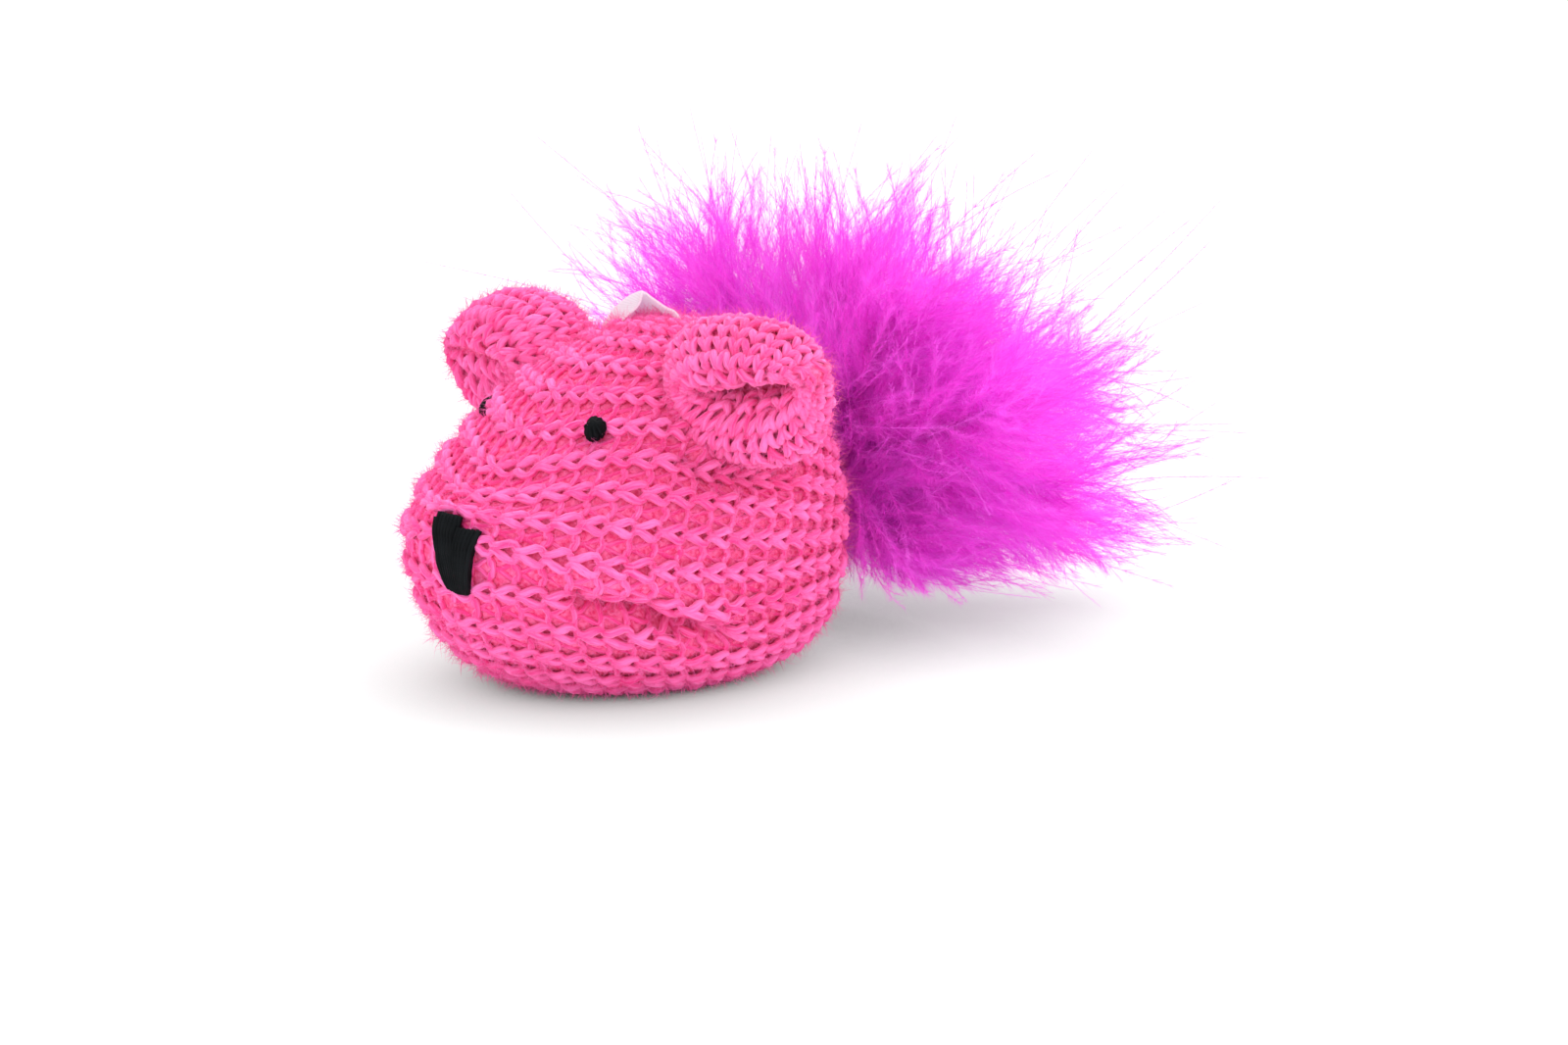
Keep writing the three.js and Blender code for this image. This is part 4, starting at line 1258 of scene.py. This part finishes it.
class CATNIP_OT_grow_tail(Operator):
    """Grow each marabou plume: its quill, its strands and the hairs on them"""

    bl_idname = "catnip.grow_tail"
    bl_label = "Grow Feather Tail"

    def execute(self, context):
        down = context.scene.catnip_toy.down
        magenta = down_material(down.colour)
        _, binding_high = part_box("quill_binding")
        gather = np.array(joint_place("tail_lift"))
        crown = np.array([0, binding_high.y - BINDING_CROWN_RADIUS, gather[2]])
        names = sorted(name for name in frame["nodes"] if name.startswith("feather_"))
        if not names:
            raise RuntimeError("the frame has no feathers")
        lows, highs = zip(*(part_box(name) for name in frame["nodes"]))
        room = np.min(lows, axis=0) - WISP_ROOM, np.max(highs, axis=0) + WISP_ROOM
        for index, name in enumerate(names):
            rng = np.random.default_rng(RNG_SEED + 100 + index)
            plume = Plume(name, crown, room, rng)
            parts = MeshParts()
            plume.grow(parts, down, gather)
            piece = parts.build(name + "_plume", magenta)
            finish_piece(piece, "tail", "magenta_down", name)
        return {"FINISHED"}


class Plume:
    """One plume, laid along the solid that stands for it."""

    def __init__(self, name, crown, room, rng):
        solid = np.array([v.co for v in frame["nodes"][name].data.vertices])
        reach = np.linalg.norm(solid - crown, axis=1)
        tip = solid[reach.argmax()]
        self.along = unit(tip - crown)
        self.start = crown + self.along * reach.min()
        self.length = reach.max() - reach.min() + TIP_REACH
        away = solid - crown
        away = away - (away @ self.along)[:, None] * self.along
        self.side = unit(away[np.linalg.norm(away, axis=1).argmax()])
        self.face = np.cross(self.along, self.side)
        self.rng = rng
        self.room = room
        self.stem = max(self.length - TIP_STRAND, LEAST_STEM * self.length)
        self.sway = STEM_SWAY * self.stem * (rng.normal() * self.side + rng.normal() * self.face)
        self.sway += np.array(PLUME_BENDS.get(name, (0, 0, 0))) * MM

    def rachis(self, share):
        share = np.clip(np.asarray(share, float), 0, 1)[..., None]
        return self.start + self.stem * share * self.along + share ** 2 * self.sway

    def grow(self, parts, down, gather):
        rng = self.rng
        scale = (self.length / FULL_PLUME) ** PLUME_GROWTH
        fullness = 1 + UPRIGHT_FULLNESS * max(self.along[2], 0)
        tufts = round(down.barbs / TUFT_STRANDS * scale * fullness)
        total = (tufts + COLLAR_TUFTS) * TUFT_STRANDS + 1
        stem = self.rachis(np.linspace(0, 1, STEM_STEPS))
        outs = np.broadcast_to(self.face, stem.shape)
        radius = np.linspace(STEM_THICK, STEM_THIN, STEM_STEPS) * MM
        add_thread(parts, stem, outs, radius, 0, total, 5, tint=0.3)
        for tuft in range(tufts + COLLAR_TUFTS):
            if tuft < tufts:
                share = ((tuft + rng.uniform()) / tufts) ** CROWDING
                aim, tip, length = self.tuft(down, share, TUFT_TURN * tuft)
            else:
                share = COLLAR_SHARE
                aim, tip, length = self.collar_tuft()
            for strand in range(TUFT_STRANDS):
                foot = self.rachis(share + rng.uniform(-FOOT_PLAY, FOOT_PLAY))
                stray = rng.uniform() < STRAY_SHARE
                knee_play, tip_play, reach = STRAY_STRAND if stray else TUFT_STRAND
                knee = foot + 0.5 * length * unit(aim + knee_play * rng.normal(0, 1, 3))
                end = tip + length * tip_play * rng.normal(0, 1, 3)
                end = lerp(foot, end, rng.uniform(*reach))
                knee, end = off_head(knee), off_head(np.clip(end, *self.room))
                index = tuft * TUFT_STRANDS + strand + 1
                self.barb(parts, down, gather, (foot, knee, end), index, total)

    def tuft(self, down, share, turn):
        """Aim, tip and length of a tuft that leaves the stem at a share of its length."""
        rng = self.rng
        turn += rng.uniform(-TUFT_TURN_PLAY, TUFT_TURN_PLAY)
        spread = lerp(SPREAD_AT_FOOT, SPREAD_AT_TIP, share ** SPREAD_FALL)
        spread = math.radians(spread) * rng.uniform(*SPREAD_PLAY)
        beside = math.cos(turn) * self.side + TUFT_FLATNESS * math.sin(turn) * self.face
        aim = unit(math.cos(spread) * self.along + math.sin(spread) * beside)
        length = lerp(down.barb_length, TIP_STRAND, share) * rng.uniform(*TUFT_LENGTHS)
        bend = unit(aim + TUFT_BEND * self.along + TUFT_BEND_PLAY * rng.normal(0, 1, 3))
        tip = self.rachis(share) + length * (TUFT_AIM_PART * aim + TUFT_BEND_PART * bend)
        return aim, tip, length

    def collar_tuft(self):
        """Aim, tip and length of a short tuft that stands off the gather beside the head."""
        rng = self.rng
        turn = rng.uniform(0, 2 * math.pi)
        aim = unit(np.array([math.cos(turn), rng.uniform(-COLLAR_LEAN, 0), math.sin(turn)]))
        length = COLLAR_LENGTH * rng.uniform(*COLLAR_LENGTHS)
        tip = self.start + length * unit(aim + COLLAR_PLAY * rng.normal(0, 1, 3))
        return aim, tip, length

    def barb(self, parts, down, gather, bow, index, total):
        """One strand, cut short where it would touch the floor or the head."""
        rng = self.rng
        shares = np.linspace(0, 1, BARB_STEPS)
        clear = tail_is_clear(bow_line(bow, shares), gather)
        if not clear.all():
            last = int(np.argmin(clear))
            if last < LEAST_BARB_STEPS:
                return
            shares = np.linspace(0, shares[last - 1], BARB_STEPS)
        line = bow_line(bow, shares)
        tint = np.clip(0.5 + BARB_TINT_JITTER * rng.normal(), 0, 1)
        outs = np.broadcast_to(unit(np.cross(line[-1] - line[0], rng.normal(0, 1, 3))), line.shape)
        radius = down.barb_radius * np.linspace(1, BARB_TAPER, BARB_STEPS)
        add_thread(parts, line, outs, radius, index, total, 3, tint=tint * BARB_SHADE)
        self.barbules(parts, down, line, outs[0], index, total, tint)

    def barbules(self, parts, down, line, flat, index, total, tint):
        """Hairs on both sides of a strand, each one sliver."""
        rng = self.rng
        count = down.barbules
        share = np.sort(rng.uniform(*BARBULE_SPAN, count))
        spot = share * (len(line) - 1)
        base = np.floor(spot).astype(int).clip(0, len(line) - 2)
        foot = lerp(line[base], line[base + 1], (spot - base)[:, None])
        ahead = unit(line[base + 1] - line[base])
        side = unit(np.cross(ahead, flat))
        hand = np.where(np.arange(count) % 2 == 0, 1.0, -1.0)[:, None]
        out = unit(hand * side + BARBULE_PLAY * rng.normal(0, 1, (count, 3)))
        way = unit(ahead * lerp(*BARBULE_SWEEP, share)[:, None] + out)
        taper = lerp(1.0, BARBULE_TAPER, share)
        size = down.barbule_length * taper * rng.uniform(*BARBULE_LENGTHS, count)
        thick = BARBULE_HALF * ahead
        points = np.stack([foot - thick, foot + thick, foot + size[:, None] * way], 1).reshape(-1, 3)
        points[:, 2] = np.maximum(points[:, 2], FLOOR_CLEARANCE)
        faces = np.arange(3 * count).reshape(-1, 3)
        middle = np.full(count, (index + 0.5) / total)
        edge = (index + 0.5 + 0.4 * hand[:, 0]) / total
        foot_end, tip_end = np.minimum(share + 0.02, 1), np.minimum(share + 0.06, 1)
        corners = ((share, middle), (foot_end, middle), (tip_end, edge))
        bake = np.stack([np.stack(corner, -1) for corner in corners], 1)
        parts.add(points, [faces], [bake], tint=tint)


def bow_line(bow, shares):
    """Points along a strand that bends from its foot, by its knee, to its end."""
    foot, knee, end = bow
    t = shares[:, None]
    return (1 - t) ** 2 * foot + 2 * t * (1 - t) * knee + t ** 2 * end


def off_head(point):
    """A point of the tail moved out of the head, as feathers lie against it."""
    centre = np.array([0, 0, NOSE_AXIS_HEIGHT])
    for _ in range(12):
        if not inside_head(point[None], HEAD_ROOM)[0]:
            break
        point = point + HEAD_ROOM * unit(point - centre)
    return point


def tail_is_clear(line, gather):
    """True where a strand keeps off the floor, and off the head all through the tail's swing."""
    beyond = np.maximum(line[:, 1] - gather[1], 0)
    clear = line[:, 2] > np.maximum(FLOOR_GAP + FLOOR_GAP_RISE * beyond, ROOT_GAP - ROOT_GAP_FALL * beyond)
    clear &= ~inside_head(line, HEAD_GAP)
    for swing in (-TAIL_SWING, TAIL_SWING):
        clear &= ~inside_head(swung(line, gather, swing), -SWING_PRESS)
    return clear


def swung(points, pivot, degrees):
    """Points after the tail swings about its upright axis."""
    a = math.radians(degrees)
    about_z = np.array([[math.cos(a), -math.sin(a), 0], [math.sin(a), math.cos(a), 0], [0, 0, 1]])
    return (points - pivot) @ about_z.T + pivot


class CATNIP_OT_fill(Operator):
    """Pack the fibre wads and the dried leaf, and sew the ear seams"""

    bl_idname = "catnip.fill"
    bl_label = "Fill and Seam"

    def execute(self, context):
        trim = context.scene.catnip_toy.trim
        fibre = filling_material("white_fibre", trim.fibre, 400)
        leaf = filling_material("dried_leaf", trim.leaf, 700)
        for name, material, slot in (
            ("stuffing_front", fibre, "white_fibre"),
            ("stuffing_rear", fibre, "white_fibre"),
            ("catnip_leaf", leaf, "dried_leaf"),
        ):
            lump = soft_copy(name, WAD_DEPTH)
            lump.data.materials.clear()
            lump.data.materials.append(material)
            finish_piece(lump, "head", slot, name)
        thread = bpy.data.materials["binding_thread"]
        for word, side in SIDES.items():
            share = np.linspace(0, 1, SEAM_STEPS)
            rounds = EAR_UP + np.radians(lerp(-SEAM_SPREAD, SEAM_SPREAD, share))
            back = np.full(SEAM_STEPS, EAR_BACK)
            normal = head_normal(back, rounds)
            line = head_point(back, rounds) + normal * SEAM_STAND
            line[:, 1] += SEAM_WAVER * np.sin(2 * math.pi * SEAM_STITCHES * share)
            mirror = np.array([side, 1, 1])
            parts = MeshParts()
            add_thread(parts, line * mirror, normal * mirror, SEAM_THREAD, 0, 1, 6, SEWING_TWIST,
                       SEWING_FLATNESS)
            finish_piece(parts.build("ear_stitch_" + word, thread), "head", "pink_thread", "ear_seam_" + word)
        return {"FINISHED"}


def soft_copy(name, depth):
    """A tufted copy of a filling solid, a little smaller than it."""
    source = frame["nodes"][name]
    deselect()
    copy = bpy.data.objects.new(name + "_wad", source.data.copy())
    bpy.context.scene.collection.objects.link(copy)
    copy.select_set(True)
    bpy.context.view_layer.objects.active = copy
    bpy.ops.object.mode_set(mode="EDIT")
    bpy.ops.mesh.select_all(action="SELECT")
    bpy.ops.mesh.remove_doubles(threshold=0.01 * MM)
    bpy.ops.object.mode_set(mode="OBJECT")
    remesh = copy.modifiers.new("even", "REMESH")
    remesh.mode = "VOXEL"
    remesh.voxel_size = WAD_GRAIN
    tufts = bpy.data.textures.new(name + "_tufts", "CLOUDS")
    tufts.noise_scale = WAD_TUFT
    push = copy.modifiers.new("tufts", "DISPLACE")
    push.texture = tufts
    push.strength = -depth
    push.mid_level = 0
    for modifier in ("even", "tufts"):
        bpy.ops.object.modifier_apply(modifier=modifier)
    points = points_of(copy.data)
    points[:, 0] -= WAD_FOLD_PULL * pressed_in(points, WAD_FOLD_SPREAD)
    move_points(copy.data, points)
    bpy.ops.object.shade_smooth()
    return copy


class CATNIP_OT_set_stage(Operator):
    """Set the white floor, the soft lights and the camera"""

    bl_idname = "catnip.set_stage"
    bl_label = "Set Stage"

    def execute(self, context):
        stage = context.scene.catnip_toy.stage
        self.lay_floor()
        self.light(context, stage)
        self.place_camera(context, stage)
        context.scene.view_settings.view_transform = "Standard"
        return {"FINISHED"}

    def lay_floor(self):
        deselect()
        bpy.ops.mesh.primitive_plane_add(size=8)
        floor = bpy.context.object
        floor.name = "floor"
        white = (FLOOR_WHITE, FLOOR_WHITE, FLOOR_WHITE)
        material, tree, shader = new_material("white_floor", white, 0.9)
        set_sockets(shader, {"Specular IOR Level": 0})
        path = node(tree, "ShaderNodeLightPath")
        tone = node(tree, "ShaderNodeMapRange")
        set_sockets(tone, {"To Min": FLOOR_WHITE, "To Max": SEEN_FLOOR})
        link(tree, path, "Is Camera Ray", tone, "Value")
        link(tree, tone, "Result", shader, "Base Color")
        # Painted shadow: the camera sees the floor's glow dimmed where the toy closes it in; real shade from
        # the lamps shows only through the seen share of its colour
        painted_shadow = node(tree, "ShaderNodeAmbientOcclusion", samples=8, Distance=PAINTED_SHADOW_REACH)
        seen = node(tree, "ShaderNodeMath", operation="MULTIPLY")
        soft = node(tree, "ShaderNodeMath", operation="POWER")
        set_sockets(soft, {1: PAINTED_SHADOW_SOFTNESS})
        link(tree, painted_shadow, "AO", soft, 0)
        link(tree, path, "Is Camera Ray", seen, 0)
        link(tree, soft, "Value", seen, 1)
        glow = node(tree, "ShaderNodeEmission", Color=(FLOOR_LIFT, FLOOR_LIFT, FLOOR_LIFT, 1))
        link(tree, seen, 0, glow, "Strength")
        both = node(tree, "ShaderNodeAddShader")
        link(tree, shader, "BSDF", both, 0)
        link(tree, glow, "Emission", both, 1)
        link(tree, both, "Shader", tree.nodes["Material Output"], "Surface")
        floor.data.materials.append(material)

    def light(self, context, stage):
        world = bpy.data.worlds.new("white_room")
        context.scene.world = world
        world.use_nodes = True
        tree = world.node_tree
        path = node(tree, "ShaderNodeLightPath")
        strength = node(tree, "ShaderNodeMapRange")
        set_sockets(strength, {"To Min": stage.ambient, "To Max": 1.0})
        link(tree, path, "Is Camera Ray", strength, "Value")
        link(tree, strength, "Result", tree.nodes["Background"], "Strength")
        set_sockets(tree.nodes["Background"], {"Color": (1, 1, 1, 1)})
        for word, (size, place) in SOFTBOXES.items():
            lamp = bpy.data.lights.new(word + "_softbox", "AREA")
            lamp.energy = getattr(stage, word)
            lamp.size = size
            holder = bpy.data.objects.new(word + "_softbox", lamp)
            holder.location = place
            holder.rotation_euler = (LIGHT_AIM - Vector(place)).to_track_quat("-Z", "Y").to_euler()
            context.scene.collection.objects.link(holder)

    def place_camera(self, context, stage):
        a, e = stage.azimuth, stage.elevation
        right = Vector((math.cos(a), math.sin(a), 0))
        back = Vector((math.sin(a) * math.cos(e), -math.cos(a) * math.cos(e), math.sin(e)))
        up = back.cross(right)
        aside = (FRAME_WIDTH / 2 - HEAD_PIXEL[0]) / PIXELS_PER_METRE
        above = (HEAD_PIXEL[1] - FRAME_HEIGHT / 2) / PIXELS_PER_METRE
        aim = HEAD_MIDDLE + right * aside + up * above
        camera = bpy.data.cameras.new("camera")
        camera.sensor_width = SENSOR_WIDTH
        camera.lens = PIXELS_PER_METRE * stage.distance / FRAME_WIDTH * SENSOR_WIDTH
        camera.clip_start = NEAREST_SEEN
        holder = bpy.data.objects.new("camera", camera)
        holder.location = aim + back * stage.distance
        holder.rotation_euler = (-back).to_track_quat("-Z", "Y").to_euler()
        context.scene.collection.objects.link(holder)
        context.scene.camera = holder


STEPS = (
    CATNIP_OT_set_stage,
    CATNIP_OT_knit_head,
    CATNIP_OT_knit_ears,
    CATNIP_OT_sew_face,
    CATNIP_OT_fold_label,
    CATNIP_OT_bind_tail,
    CATNIP_OT_grow_tail,
    CATNIP_OT_fill,
)


class CATNIP_PT_toy(Panel):
    """Lists the steps that dress the toy"""

    bl_idname = "CATNIP_PT_toy"
    bl_label = "Catnip Toy"
    bl_space_type = "VIEW_3D"
    bl_region_type = "UI"
    bl_category = "Catnip Toy"

    def draw(self, context):
        toy = context.scene.catnip_toy
        for step in STEPS:
            self.layout.operator(step.bl_idname)
        for group in (toy.yarn, toy.trim, toy.down, toy.stage):
            box = self.layout.box()
            for name in group.bl_rna.properties.keys():
                if name not in ("rna_type", "name"):
                    box.prop(group, name)


CLASSES = (YarnSettings, TrimSettings, DownSettings, StageSettings, ToySettings, *STEPS, CATNIP_PT_toy)


def register():
    for item in CLASSES:
        bpy.utils.register_class(item)
    bpy.types.Scene.catnip_toy = PointerProperty(type=ToySettings)


def unregister():
    del bpy.types.Scene.catnip_toy
    for item in reversed(CLASSES):
        bpy.utils.unregister_class(item)


def main():
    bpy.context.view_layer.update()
    register()
    for step in STEPS:
        group, name = step.bl_idname.split(".")
        getattr(getattr(bpy.ops, group), name)()


if __name__ == "__main__":
    main()
